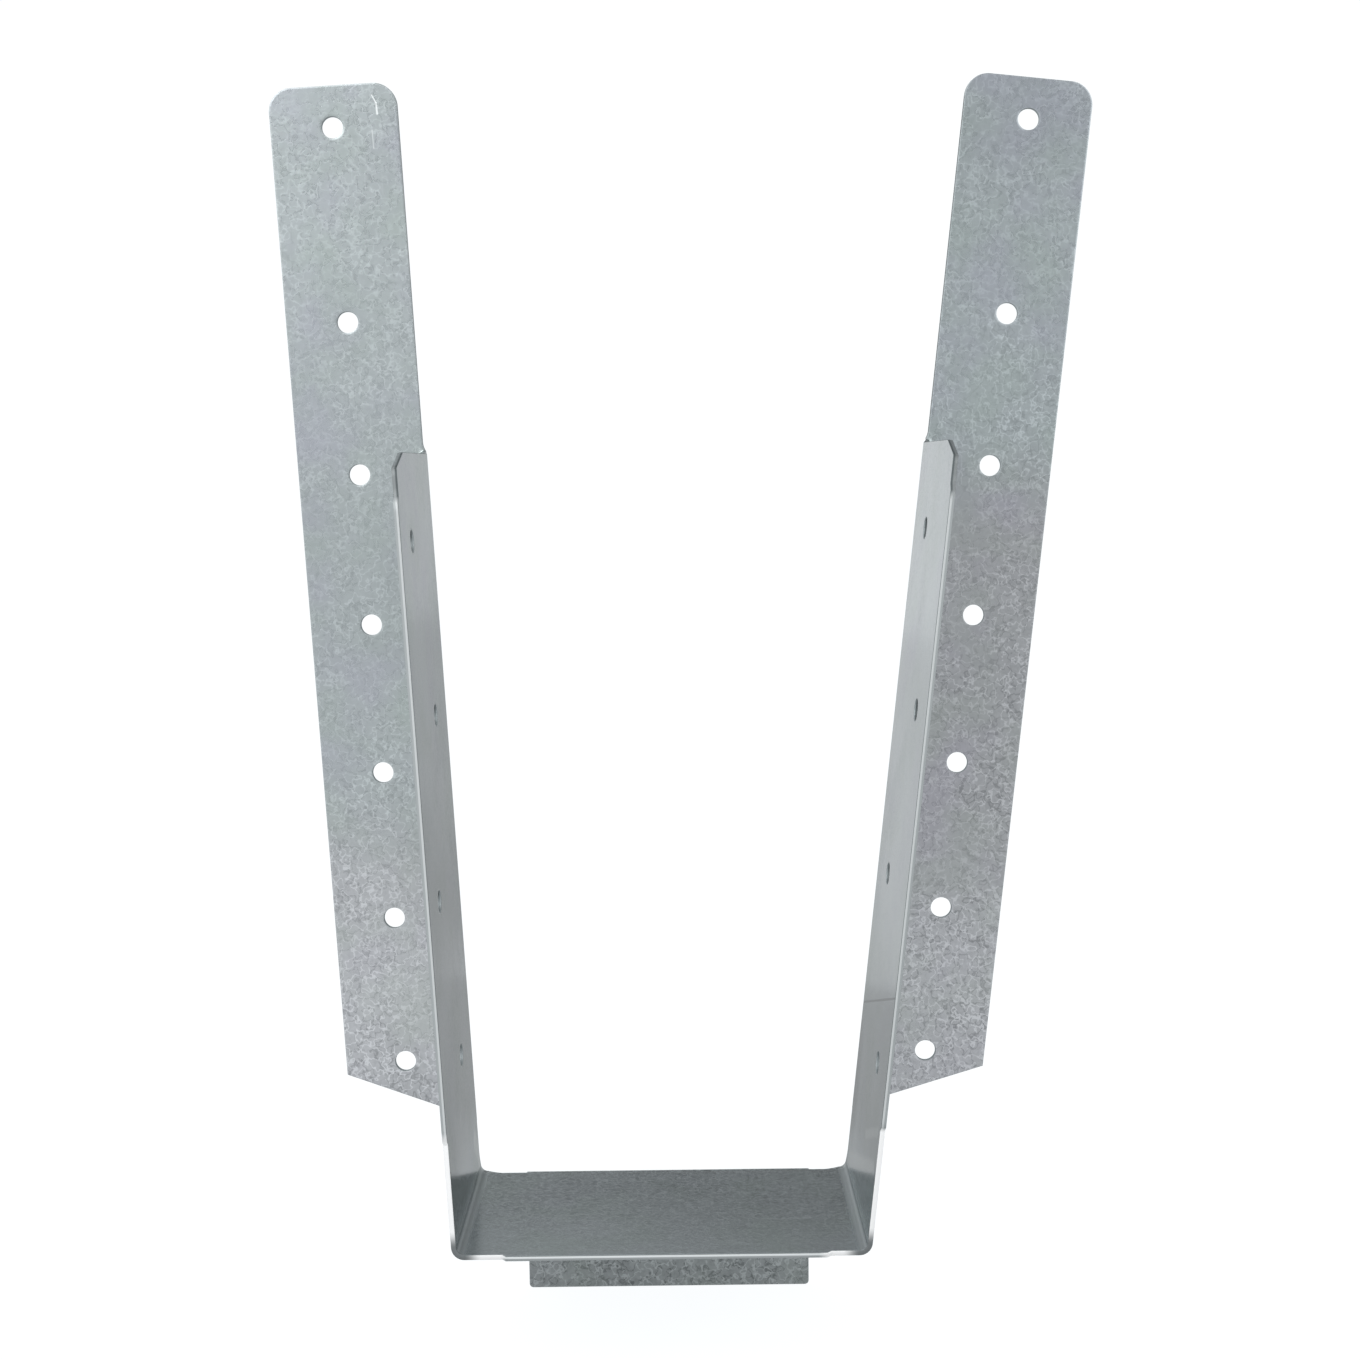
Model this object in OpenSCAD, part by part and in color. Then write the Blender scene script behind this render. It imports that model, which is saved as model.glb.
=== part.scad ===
// Face fixed joist hanger, folded from one galvanised steel sheet.
// Two side plates stand on a flat seat and turn out into tall nailing straps.
// A short tab turns down from the back of the seat against the header.
//
// Frame, in millimetres: X runs across the joist, +Y points at the header and
// +Z is up. The seat's bearing face is Z = 0, the header's face is Y = 0 and
// X = 0 lies midway between the side plates where they meet the seat.

/* [Sheet] */
// Sheet thickness
sheet_t = 1.1; // [0.9:0.1:2.5]
// Inside radius of every fold
fold_r = 1.8; // [1.2:0.1:3]

/* [Pocket] */
// Clear width between the side plates at the seat
pocket_width = 90.2; // [86:0.1:150]
// Header face to the front edge of the seat
pocket_depth = 52.4; // [46:0.1:90]
// Side plate height above the seat
plate_height = 177.9; // [168:0.1:190]
// Outward lean of the left side plate, degrees
lean_left = 2.9; // [0:0.1:8]
// Outward lean of the right side plate, degrees
lean_right = 6.1; // [0:0.1:8]
// How far the blank lay off centre, to the right, when it was folded
blank_shift = 1.1; // [0:0.1:2]

/* [Straps] */
// Strap top above the seat, along the strap
strap_height = 264.8; // [262:0.1:320]
// Inner edge of the free strap from the side plate's inside face
strap_inner = 1.1; // [0.6:0.1:3]
// Outer edge of the strap from the side plate's inside face
strap_outer = 31.3; // [26:0.1:45]
// Radius of the strap's two top corners
strap_corner_r = 5.5; // [2:0.5:10]
// Height of the slanted bottom edge at the strap's outer edge
strap_foot = 27.4; // [22:0.1:31]
// Slope of the bottom edge down to the side plate, degrees
strap_foot_slope = 23; // [5:1:25]
// Radius where the free strap flares into the side plate's top
flare_r = 4.6; // [3:0.1:8]
// Radius of the small pit torn in the right flare
flare_pit_r = 0.5; // [0.3:0.1:0.6]
// Height of that pit above the side plate's top
flare_pit_rise = 0.8; // [0.8:0.1:1.5]

/* [Tab] */
// Width of the tab under the seat's back edge
tab_width = 69.8; // [40:0.1:74]
// Bottom of the tab below the seat's bearing face
tab_drop = 30.4; // [15:0.1:60]
// Radius of the tab's two bottom corners
tab_corner_r = 1; // [0.5:0.5:5]

/* [Nail holes] */
// Nail hole diameter
nail_d = 5; // [4:0.1:6]
// Line of strap holes from the side plate's inside face
strap_hole_line = 16.7; // [12:0.1:20]
// Lowest strap hole above the seat
strap_hole_first = 30; // [29:0.1:34]
// Pitch of the lower strap holes
strap_hole_pitch = 36; // [28:0.1:36.5]
// Number of holes at that pitch
strap_hole_count = 6; // [2:1:6]
// Top strap hole below the strap's top
strap_hole_top = 9.6; // [8:0.1:20]
// Back row of side plate holes, from the header face
plate_hole_back = 20.8; // [12:0.1:24]
// Front row of side plate holes, from the header face
plate_hole_front = 36.8; // [30:0.1:40]
// Lowest side plate hole above the seat
plate_hole_first = 36.7; // [30:0.1:44]
// Pitch of the side plate holes
plate_hole_pitch = 40.3; // [20:0.1:42]

/* [Front edges] */
// Set back of the front edge round the two seat folds
corner_relief = 0.9; // [0.5:0.1:2.5]
// Height above the seat where that set back ends on a side plate
corner_relief_top = 27.1; // [20:0.1:30]
// Half length of the full seat edge, from the blank's centre line
seat_edge_half = 35.3; // [25:0.1:38]
// Set back of the front edge at the side plate's top
top_relief = 1.4; // [0.5:0.1:4]
// Height of that set back part, from the plate's top
top_relief_height = 10.6; // [8:0.1:20]
// Length of the slanted top front corner
nose_length = 10.4; // [4:0.1:20]
// Drop of the slanted top front corner
nose_drop = 3.6; // [1:0.1:6]
// Fall of the plate's top edge from header to nose
top_fall = 1; // [0:0.1:2]

/* [Seat corners] */
// Header face to the web left behind each seat fold
web_gap = 0.1; // [0:0.1:1.6]
// Reach of that web each way from the fold
web_reach = 7.5; // [5:0.1:9]
// How much the sheet draws in on every side round a seat fold
fold_thinning = 0.02; // [0.01:0.01:0.05]

/* [Quality] */
// Facets of a full circle
facets = 96; // [48:8:160]

/* [Hidden] */
$fn = facets;
fold_out = fold_r + sheet_t;
web_rise = fold_out - web_gap;
half_pocket = pocket_width / 2;
fold_bite = 4;
cut = sheet_t;
lap = sheet_t / 4;
web_dip = web_reach / 30;
web_cut_r = (pow(web_reach, 2) + pow(web_rise + web_dip, 2)) / (2 * (web_rise + web_dip));
foot_at_plate = strap_foot - strap_outer * tan(strap_foot_slope);
flare_rise = sqrt(pow(flare_r, 2) - pow(flare_r - strap_inner, 2));

// Distance from a fold's sharp corner to where its arc begins
function tangent_length(lean) = fold_r * (1 - sin(lean)) / cos(lean);

// Moves a part drawn on an upright side plate onto the leaning one
module on_plate(lean) {
    translate([half_pocket, 0, 0])
        rotate([0, lean, 0])
            children();
}

// Edge web behind a seat fold, in [along, depth] from the fold's sharp corner
module web_outline(start) {
    difference() {
        translate([start, fold_out - web_rise])
            square([web_reach - start, web_rise + cut]);
        translate([web_reach, fold_out + web_dip - web_cut_r])
            circle(r = web_cut_r);
    }
}

// Outline of a side plate, in [height, depth from the header]
module plate_outline(start, top, shift) {
    relief_foot = corner_relief_top + shift;
    relief_end = top - top_relief_height;
    union() {
        polygon([
            [start, fold_out],
            [top, fold_out],
            [top - top_fall, pocket_depth - top_relief - nose_length],
            [top - top_fall - nose_drop, pocket_depth - top_relief],
            [relief_end, pocket_depth - top_relief],
            [relief_end - top_relief, pocket_depth],
            [relief_foot, pocket_depth],
            [relief_foot - corner_relief, pocket_depth - corner_relief],
            [start, pocket_depth - corner_relief]
        ]);
        web_outline(start);
    }
}

// Side plate with its staggered nail holes, drawn upright
module side_plate(lean, top, shift, low_row, high_row) {
    difference() {
        rotate([0, -90, 0])
            mirror([0, 1, 0])
                mirror([0, 0, 1])
                    linear_extrude(height = sheet_t)
                        plate_outline(tangent_length(lean), top, shift);
        for (i = [0 : 3])
            translate([-cut, -(i % 2 == 0 ? low_row : high_row), plate_hole_first + i * plate_hole_pitch + shift])
                rotate([0, 90, 0])
                    cylinder(d = nail_d, h = sheet_t + 2 * cut);
    }
}

// Fold between the seat and a side plate, drawn with the plate upright
module seat_fold(lean) {
    front = pocket_depth - corner_relief - fold_thinning;
    back = web_gap + fold_thinning;
    translate([-fold_r, -front, tangent_length(lean)])
        rotate([-90, 0, 0])
            rotate([0, 0, -fold_bite])
                rotate_extrude(angle = 90 - lean + 2 * fold_bite)
                    translate([fold_r + fold_thinning, 0])
                        square([sheet_t - 2 * fold_thinning, front - back]);
}

// Outline of half the seat, in [along from the fold's sharp corner, depth]
module half_seat_outline(start, shift) {
    full = half_pocket - seat_edge_half - shift;
    union() {
        polygon([
            [start, fold_out],
            [half_pocket, fold_out],
            [half_pocket, pocket_depth],
            [full, pocket_depth],
            [full - corner_relief, pocket_depth - corner_relief],
            [start, pocket_depth - corner_relief]
        ]);
        web_outline(start);
    }
}

// Half of the flat seat
module half_seat(lean, shift) {
    translate([half_pocket, 0, -sheet_t])
        rotate([0, 0, 180])
            linear_extrude(height = sheet_t)
                half_seat_outline(tangent_length(lean), shift);
}

// Fold from the side plate out into the strap, with the strap's flat lower part
module strap_fold(top) {
    low = round(foot_at_plate / 2);
    height = top - low;
    translate([0, 0, low]) {
        translate([fold_out, -fold_out, 0])
            rotate([0, 0, 90])
                rotate_extrude(angle = 90)
                    translate([fold_r, 0])
                        square([sheet_t, height]);
        translate([fold_out, -sheet_t, 0])
            cube([strap_outer - fold_out, sheet_t, height]);
    }
}

// Outline of the free strap above the side plate, in [n, s]
module free_strap_outline(top, crown) {
    difference() {
        union() {
            translate([0, top - lap])
                square([strap_outer, crown - strap_corner_r - top + lap]);
            translate([strap_inner + strap_corner_r, crown - strap_corner_r - lap])
                square([strap_outer - strap_inner - 2 * strap_corner_r, strap_corner_r + lap]);
            for (x = [strap_inner + strap_corner_r, strap_outer - strap_corner_r])
                translate([x, crown - strap_corner_r])
                    circle(r = strap_corner_r);
        }
        translate([strap_inner - strap_outer, top + flare_rise])
            square([strap_outer, crown - top]);
        translate([strap_inner - flare_r, top + flare_rise])
            circle(r = flare_r);
    }
}

// One strap with its fold, drawn on an upright side plate
module strap(top, crown, shift, pitted) {
    slope = tan(strap_foot_slope);
    difference() {
        union() {
            strap_fold(top);
            rotate([90, 0, 0])
                linear_extrude(height = sheet_t)
                    free_strap_outline(top, crown);
        }
        translate([0, cut, 0])
            rotate([90, 0, 0])
                linear_extrude(height = fold_out + 2 * cut)
                    polygon([
                        [-cut, foot_at_plate + shift - cut * slope],
                        [strap_outer + cut, strap_foot + shift + cut * slope],
                        [strap_outer + cut, 0],
                        [-cut, 0]
                    ]);
        strap_holes(crown, shift);
        if (pitted)
            translate([strap_inner * 0.3, cut, top + flare_pit_rise])
                rotate([90, 0, 0])
                    cylinder(r = flare_pit_r, h = sheet_t + 2 * cut);
    }
}

// Row of nail holes up one strap
module strap_holes(crown, shift) {
    for (i = [0 : strap_hole_count - 1])
        strap_hole(strap_hole_first + i * strap_hole_pitch + shift);
    strap_hole(crown - strap_hole_top);
}

// Nail hole through a strap at height s
module strap_hole(s) {
    translate([strap_hole_line, cut, s])
        rotate([90, 0, 0])
            cylinder(d = nail_d, h = sheet_t + 2 * cut);
}

// One half of the hanger, drawn on the right
module half_hanger(lean, shift, low_row, high_row, pitted) {
    top = plate_height + shift;
    half_seat(lean, shift);
    on_plate(lean) {
        seat_fold(lean);
        side_plate(lean, top, shift, low_row, high_row);
        strap(top, strap_height + shift, shift, pitted);
    }
}

// Tab folded down from the seat's back edge
module tab() {
    flat = tab_drop - fold_out;
    translate([blank_shift - tab_width / 2, 0, 0]) {
        translate([0, -fold_out, -fold_out])
            rotate([90, 0, 90])
                rotate_extrude(angle = 90)
                    translate([fold_r, 0])
                        square([sheet_t, tab_width]);
        rotate([90, 0, 0])
            linear_extrude(height = sheet_t)
                difference() {
                    translate([0, -tab_drop])
                        square([tab_width, flat]);
                    for (side = [0, 1])
                        translate([side * tab_width, -tab_drop])
                            mirror([side, 0])
                                difference() {
                                    translate([-cut, -cut])
                                        square(tab_corner_r + cut);
                                    translate([tab_corner_r, tab_corner_r])
                                        circle(r = tab_corner_r);
                                }
                }
    }
}

// The whole folded sheet
module hanger() {
    color("Silver")
        union() {
            half_hanger(lean_right, blank_shift, plate_hole_front, plate_hole_back, true);
            mirror([1, 0, 0])
                half_hanger(lean_left, -blank_shift, plate_hole_back, plate_hole_front, false);
            tab();
        }
}

hanger();
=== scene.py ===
"""Joist hanger: one galvanised sheet, folded from a flat blank and dressed for a studio picture.

The blank is drawn flat with all its cut edges and nail holes, and a Geometry Nodes tree
folds it as a press brake would: two nailing straps and a tab down, two side plates up.
Lengths in the sheet classes are millimetres in the part's own frame: X across the joist,
+Y into the header, +Z up. The finish and the studio are in metres.
"""

import logging
import math
from dataclasses import dataclass, field
from enum import Enum
from functools import partial, reduce
from typing import Sequence, TypeVar, Union

import bpy
from mathutils import Matrix, Vector
from mathutils.geometry import delaunay_2d_cdt

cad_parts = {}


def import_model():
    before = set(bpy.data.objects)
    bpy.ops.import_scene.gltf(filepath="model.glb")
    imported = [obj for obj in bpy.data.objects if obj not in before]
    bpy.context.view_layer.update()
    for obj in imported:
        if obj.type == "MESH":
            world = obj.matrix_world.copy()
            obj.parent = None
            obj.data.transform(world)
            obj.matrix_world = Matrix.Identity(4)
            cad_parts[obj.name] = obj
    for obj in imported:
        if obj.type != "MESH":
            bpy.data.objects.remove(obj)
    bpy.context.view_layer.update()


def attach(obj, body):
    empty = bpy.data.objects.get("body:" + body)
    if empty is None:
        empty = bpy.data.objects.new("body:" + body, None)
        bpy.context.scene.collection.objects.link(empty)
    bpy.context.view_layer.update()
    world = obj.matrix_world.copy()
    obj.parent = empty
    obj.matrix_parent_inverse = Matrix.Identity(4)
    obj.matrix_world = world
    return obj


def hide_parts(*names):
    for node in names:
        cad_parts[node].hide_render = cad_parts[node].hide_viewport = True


LOG = logging.getLogger("joist_hanger")
MM = 0.001
PLATE_CALM = 0.7  # calmness of the zinc on the side plates: 0 on the straps, 1 on the seat
Point2 = tuple[float, float]
Point3 = tuple[float, float, float]
Colour = tuple[float, float, float, float]
Ramp = tuple[float, float, Point2]  # where a change starts and ends, and the values before and after it
Face = list[int]
Socket = bpy.types.NodeSocket
Feed = Union[float, Point3, Colour, Socket, bpy.types.Node]
Item = TypeVar("Item")


@dataclass(frozen=True)
class Mark:
    """A short straight mark or soft blotch on the zinc; some of them are painted reflections.

    Args:
        start: One end, in metres.
        end: The other end.
        width: Half its width.
        strength: How much of its colour shows.
        colour: That colour.
    """

    start: Point3
    end: Point3
    width: float
    strength: float
    colour: Colour


# Light colour of the scratches and of the painted reflection blotches; dark colour of the painted reflection
# line and of the darker patch.
BRIGHT: Colour = (0.90, 0.93, 0.93, 1)
DULL: Colour = (0.16, 0.18, 0.19, 1)
MARKS = (
    # A bent scratch and a fainter one below it, near the top of the left strap.
    Mark((-0.0652, -0.0011, 0.2602), (-0.0642, -0.0011, 0.2584), 0.00020, 0.8, BRIGHT),
    Mark((-0.0642, -0.0011, 0.2584), (-0.0640, -0.0011, 0.2559), 0.00032, 0.8, BRIGHT),
    Mark((-0.0653, -0.0011, 0.2522), (-0.0650, -0.0011, 0.2480), 0.00022, 0.35, BRIGHT),
    # Painted reflection: a dark line across the right side plate. Also a soft darker patch low near its back
    # edge.
    Mark((0.0496, -0.0040, 0.0424), (0.0512, -0.0522, 0.0567), 0.00040, 0.85, DULL),
    Mark((0.0484, -0.0020, 0.0310), (0.0469, -0.0040, 0.0165), 0.0110, 0.42, DULL),
    # Painted reflections: pale blotches at the feet of the side plates.
    Mark((0.0471, -0.0309, 0.0189), (0.0478, -0.0480, 0.0255), 0.0017, 0.22, BRIGHT),
    Mark((0.0455, -0.0080, 0.0045), (0.0467, -0.0470, 0.0165), 0.0030, 0.36, BRIGHT),
    Mark((-0.0456, -0.0090, 0.0106), (-0.0452, -0.0020, 0.0022), 0.0036, 0.34, BRIGHT),
)


class Side(Enum):
    """Which side plate a value belongs to."""

    LEFT = -1
    RIGHT = 1


class Zone(Enum):
    """How a stretch of cut edge came out of the press tool; the relief and nose stretches also carry painted
    highlight and painted shade.
    """

    SHEARED = (0.0, 0.0)
    RELIEF = (1.0, 0.0)
    NOSE = (0.0, 1.0)


@dataclass(frozen=True)
class BlankPoint:
    """One corner of the flat blank's outline.

    Args:
        at: Place on the flat blank, millimetres.
        zone: Finish of the cut edge that starts here.
    """

    at: Point2
    zone: Zone = Zone.SHEARED


@dataclass(frozen=True)
class SheetPoint:
    """One point of the thick blank, and what the finish reads there.

    Args:
        at: Place, millimetres.
        depth: How far down the cut edge it lies, from 0 to 1.
        cut: 1 on a cut face, otherwise 0.
        worn: Does handling rub it?
        zone: Finish of the cut edge that it lies on.
    """

    at: Point3
    depth: float
    cut: float
    worn: bool
    zone: Zone


@dataclass(frozen=True)
class EdgeProfile:
    """Section of a punched edge, from the pocket side of the sheet to the other side.

    Args:
        rows: Set back and depth of each row of points, as shares of the sheet.
    """

    rows: tuple[Point2, ...] = (
        (0.110, 0.0),
        (0.050, 0.022),
        (0.015, 0.060),
        (0.0, 0.115),
        (0.0, 0.47),
        (0.014, 0.53),
        (0.035, 0.93),
        (0.060, 0.985),
        (0.100, 1.0),
    )


@dataclass
class SheetSizes:
    """Sizes of the folded sheet, in millimetres and degrees."""

    thickness: float = 1.1
    fold_r: float = 1.8
    neutral: float = 0.42  # share of the thickness at which a fold keeps its length
    half_pocket: float = 45.1
    depth: float = 52.4
    plate_height: float = 177.9
    leans: dict[Side, float] = field(default_factory=lambda: {Side.LEFT: 2.9, Side.RIGHT: 6.1})
    shift: float = 1.1  # how far the blank lay off centre when it was folded
    strap_height: float = 264.8
    strap_inner: float = 1.1  # inner edge of a free strap, out from the plate's inside face
    strap_outer: float = 31.3
    strap_corner_r: float = 5.5
    strap_foot: float = 27.4  # height at the strap's outer edge
    strap_foot_slope: float = 23.0
    flare_r: float = 4.6
    pit: Point2 = (0.3, 0.8)  # out and up from the right plate's top, at the foot of the flare
    pit_r: float = 0.5
    tab_half: float = 34.9
    tab_drop: float = 30.4
    tab_corner_r: float = 1.0
    nail_r: float = 2.5
    strap_hole_line: float = 16.7
    strap_holes: tuple[float, ...] = (30.0, 66.0, 102.0, 138.0, 174.0, 210.0, 255.2)
    plate_hole_rows: Point2 = (20.8, 36.8)  # how far in front of the header's face
    plate_hole_count: int = 4
    plate_hole_first: float = 36.7
    plate_hole_pitch: float = 40.3
    relief: float = 0.9  # cut back at each front corner of the seat
    relief_top: float = 27.1
    seat_edge_half: float = 35.3  # half of the seat's front edge between its reliefs
    top_relief: float = 1.4  # cut back at the top front of each side plate
    top_relief_height: float = 10.6
    nose_length: float = 10.4
    nose_drop: float = 3.6
    top_fall: float = 1.0
    web_gap: float = 0.1  # least distance from the web's edge to the header's face
    web_reach: float = 7.5  # how far it curves, out from the fold's sharp corner
    web_dip: float = 0.25
    fold_steps: int = 14
    beside: float = 0.4  # flat strip beside a fold that takes a row of points too

    @property
    def fold_out(self) -> float:
        """Outside radius of a fold."""
        return self.fold_r + self.thickness

    @property
    def neutral_r(self) -> float:
        """Radius whose length the fold keeps."""
        return self.fold_r + self.neutral * self.thickness

    @property
    def quarter(self) -> float:
        """Flat length that a right angled fold takes up."""
        return self.neutral_r * math.pi / 2

    def tangent(self, side: Side) -> float:
        """Distance from a seat fold's sharp corner to where its arc begins."""
        lean = math.radians(self.leans[side])
        return self.fold_r * (1 - math.sin(lean)) / math.cos(lean)

    def seat_end(self, side: Side) -> float:
        """Distance from the middle to where the seat begins to turn up."""
        return self.half_pocket - self.tangent(side)

    def rise(self, side: Side) -> float:
        """Angle through which a side plate is folded, in radians."""
        return math.radians(90 - self.leans[side])

    def plate_start(self, side: Side) -> float:
        """Distance from the blank's middle to where a side plate's flat begins."""
        return self.seat_end(side) + self.neutral_r * self.rise(side)

    def along(self, side: Side, height: float) -> float:
        """Distance from the blank's middle of a height on a side plate, from its sharp corner."""
        return self.plate_start(side) + height - self.tangent(side)

    def out(self, reach: float) -> float:
        """Place on the flat blank of a distance out along a strap, or down the tab.

        Args:
            reach: Distance from the plate's inside face, or below the seat's bearing face.

        Returns:
            Distance past the header's plane on the flat blank.
        """
        return -self.fold_out + self.quarter + reach - self.fold_out

    def offset(self, side: Side) -> float:
        """How far this side's cuts sit above their nominal height."""
        return self.shift * side.value

    def bend_lines(self, start: float, length: float) -> list[float]:
        """Lines along which a fold turns, and one more on the flat at either side.

        Args:
            start: Where the fold begins on the flat blank.
            length: Flat length that it takes up.

        Returns:
            Place of each line.
        """
        turns = [start + length * (k / self.fold_steps) for k in range(self.fold_steps + 1)]
        return [start - self.beside, *turns, start + length + self.beside]

    def seat_lines(self, side: Side) -> list[float]:
        """Lines of a seat fold, as signed distances from the blank's middle."""
        lines = self.bend_lines(self.seat_end(side), self.neutral_r * self.rise(side))
        return [side.value * x for x in lines]

    def strap_lines(self) -> list[float]:
        """Lines of the strap folds and the tab fold, along Y."""
        return self.bend_lines(-self.fold_out, self.quarter)


def arc(centre: Point2, radius: float, start: float, end: float, count: int) -> list[Point2]:
    """Points along a circular arc.

    Args:
        centre: Centre of the arc.
        radius: Its radius.
        start: First angle, in degrees.
        end: Last angle, in degrees.
        count: Number of steps.

    Returns:
        count + 1 points, both ends among them.
    """
    angles = [math.radians(start + (end - start) * i / count) for i in range(count + 1)]
    return [(centre[0] + radius * math.cos(a), centre[1] + radius * math.sin(a)) for a in angles]


def steps(loop: Sequence[Item]) -> list[tuple[Item, Item]]:
    """Each member of a closed loop with the one after it."""
    return list(zip(loop, [*loop[1:], *loop[:1]]))


def wall(levels: list[Face], inward: bool) -> list[Face]:
    """Quads between closed rows of points.

    Args:
        levels: Indices of each row, from the top down.
        inward: Do the quads face the middle of the rows?

    Returns:
        The quads.
    """
    quads = []
    for above, below in zip(levels, levels[1:]):
        for (a, a_next), (b, b_next) in zip(steps(above), steps(below)):
            quads.append([a, a_next, b_next, b] if inward else [a, b, b_next, a_next])
    return quads


def marked_mesh(name: str, verts: list[Point3], polys: list[Face],
                marks: dict[str, Sequence[float]]) -> bpy.types.Mesh:
    """Makes a mesh with values at its points for the finish to read.

    Args:
        name: Its name.
        verts: Its points.
        polys: Its faces.
        marks: A value for each point, by attribute name.

    Returns:
        The mesh.
    """
    mesh = bpy.data.meshes.new(name)
    mesh.from_pydata(verts, [], polys)
    for label, values in marks.items():
        mesh.attributes.new(label, "FLOAT", "POINT").data.foreach_set("value", values)
    return mesh


def in_scene(mesh: bpy.types.Mesh) -> bpy.types.Object:
    """Puts a mesh into the scene.

    Args:
        mesh: The mesh.

    Returns:
        An object of the same name.
    """
    made = bpy.data.objects.new(mesh.name, mesh)
    bpy.context.scene.collection.objects.link(made)
    return made


@dataclass
class BlankOutline:
    """The flat blank's outline and nail holes.

    Args:
        sizes: The sheet's sizes.
        curve_steps: Steps of the flares, the webs and the straps' way round their folds.
        corner_steps: Steps of a strap's top corner.
        tab_corner_steps: Steps of a tab's corner.
        bite: First angle, last angle and steps of the torn pit.
    """

    sizes: SheetSizes
    curve_steps: int = 12
    corner_steps: int = 14
    tab_corner_steps: int = 5
    bite: tuple[float, float, int] = (-70, 75, 7)

    def half(self, side: Side) -> list[BlankPoint]:
        """Outline of one half, from the seat's front round to the tab, drawn on the right.

        Args:
            side: The side whose lean and height the half takes.

        Returns:
            Corners with X measured away from the blank's middle.
        """
        s = self.sizes
        lift = s.offset(side)
        up = partial(s.along, side)
        front, cut, step = -s.depth, -s.depth + s.relief, -s.depth + s.top_relief
        full, low, top = s.seat_edge_half + lift, s.relief_top + lift, s.plate_height + lift
        relief_end = top - s.top_relief_height
        # Relief edges carry a painted highlight and nose edges carry painted shade. The right flare's edge
        # takes the noses' painted shade.
        torn = Zone.NOSE if side is Side.RIGHT else Zone.SHEARED
        return [
            BlankPoint((full, front), Zone.RELIEF),
            BlankPoint((full + s.relief, cut), Zone.RELIEF),
            BlankPoint((up(low - s.relief), cut), Zone.RELIEF),
            BlankPoint((up(low), front), Zone.SHEARED),
            BlankPoint((up(relief_end - s.top_relief), front), Zone.NOSE),
            BlankPoint((up(relief_end), step), Zone.NOSE),
            BlankPoint((up(top - s.top_fall - s.nose_drop), step), Zone.NOSE),
            BlankPoint((up(top - s.top_fall), step + s.nose_length), Zone.NOSE),
            *(BlankPoint(p, torn) for p in self.flare(side, top)),
            *map(BlankPoint, self.strap_edge(side, lift) + self.web(side) + self.tab_edge(side)),
        ]

    def flare(self, side: Side, top: float) -> list[Point2]:
        """Inner edge of the free strap, where it leaves the side plate's top.

        Args:
            side: The side plate. The right one has a torn pit there.
            top: Height of its top corner.

        Returns:
            Points on the flat blank.
        """
        s = self.sizes
        rise = math.sqrt(s.flare_r ** 2 - (s.flare_r - s.strap_inner) ** 2)
        centre = (s.strap_inner - s.flare_r, top + rise)
        start = math.degrees(math.asin(-rise / s.flare_r))
        curve = arc(centre, s.flare_r, start, 0, self.curve_steps)
        if side is Side.RIGHT:
            pit = (s.pit[0], top + s.pit[1])
            curve = [p for p in curve if math.dist(p, pit) > s.pit_r + 0.02]
            bite = [p for p in arc(pit, s.pit_r, *self.bite) if math.dist(p, centre) > s.flare_r]
            below = [p for p in curve if p[1] < pit[1]]
            curve = below + bite + [p for p in curve if p[1] >= pit[1]]
        return [(s.along(side, top), -s.fold_out), *((s.along(side, h), s.out(n)) for n, h in curve)]

    def strap_edge(self, side: Side, lift: float) -> list[Point2]:
        """Edge of a strap from its free top round to its slanted foot.

        Args:
            side: The strap's side.
            lift: How far its cuts sit above their nominal height.

        Returns:
            Points on the flat blank.
        """
        s = self.sizes
        crown, r = s.strap_height + lift, s.strap_corner_r
        pts = arc((s.strap_inner + r, crown - r), r, 180, 90, self.corner_steps)
        pts += arc((s.strap_outer - r, crown - r), r, 90, 0, self.corner_steps)
        pts.append((s.strap_outer, s.strap_foot + lift))
        flat = [(s.along(side, h), s.out(n)) for n, h in pts]
        slope = math.tan(math.radians(s.strap_foot_slope))
        at_plate = s.strap_foot + lift - slope * s.strap_outer
        mid_r = s.fold_r + s.thickness / 2
        for i in range(self.curve_steps, -1, -1):
            turn = math.pi / 2 * i / self.curve_steps
            reach = s.fold_out - mid_r * math.cos(turn)
            flat.append((s.along(side, at_plate + slope * reach), -s.fold_out + s.neutral_r * turn))
        return flat

    def web(self, side: Side) -> list[Point2]:
        """Curved edge of the web left behind a seat fold.

        Args:
            side: The fold's side.

        Returns:
            Points on the flat blank, from the plate to the seat.
        """
        s = self.sizes
        dip = s.fold_out - s.web_gap + s.web_dip
        r = (s.web_reach ** 2 + dip ** 2) / (2 * dip)
        centre_depth = s.fold_out + s.web_dip - r
        far, near = s.web_reach - math.sqrt(r ** 2 - (r - s.web_dip) ** 2), s.tangent(side)
        curve: list[Point2] = []
        for i in range(self.curve_steps + 1):
            run = far + (near - far) * i / self.curve_steps
            depth = centre_depth + math.sqrt(max(r ** 2 - (s.web_reach - run) ** 2, 0))
            if run >= near:
                curve.append((run, -max(depth, s.web_gap)))
        plate = [(s.along(side, run), y) for run, y in curve]
        return plate + [(s.half_pocket - run, y) for run, y in reversed(curve)]

    def tab_edge(self, side: Side) -> list[Point2]:
        """Edge of the tab from the seat's back edge to its middle.

        Args:
            side: The tab's side.

        Returns:
            Points on the flat blank.
        """
        s = self.sizes
        half, r = s.tab_half + s.offset(side), s.tab_corner_r
        corner = arc((half - r, s.tab_drop - r), r, 0, 90, self.tab_corner_steps)[1:]
        return [(half, -s.fold_out), (half, s.out(s.tab_drop - r)), *((x, s.out(y)) for x, y in corner)]

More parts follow.
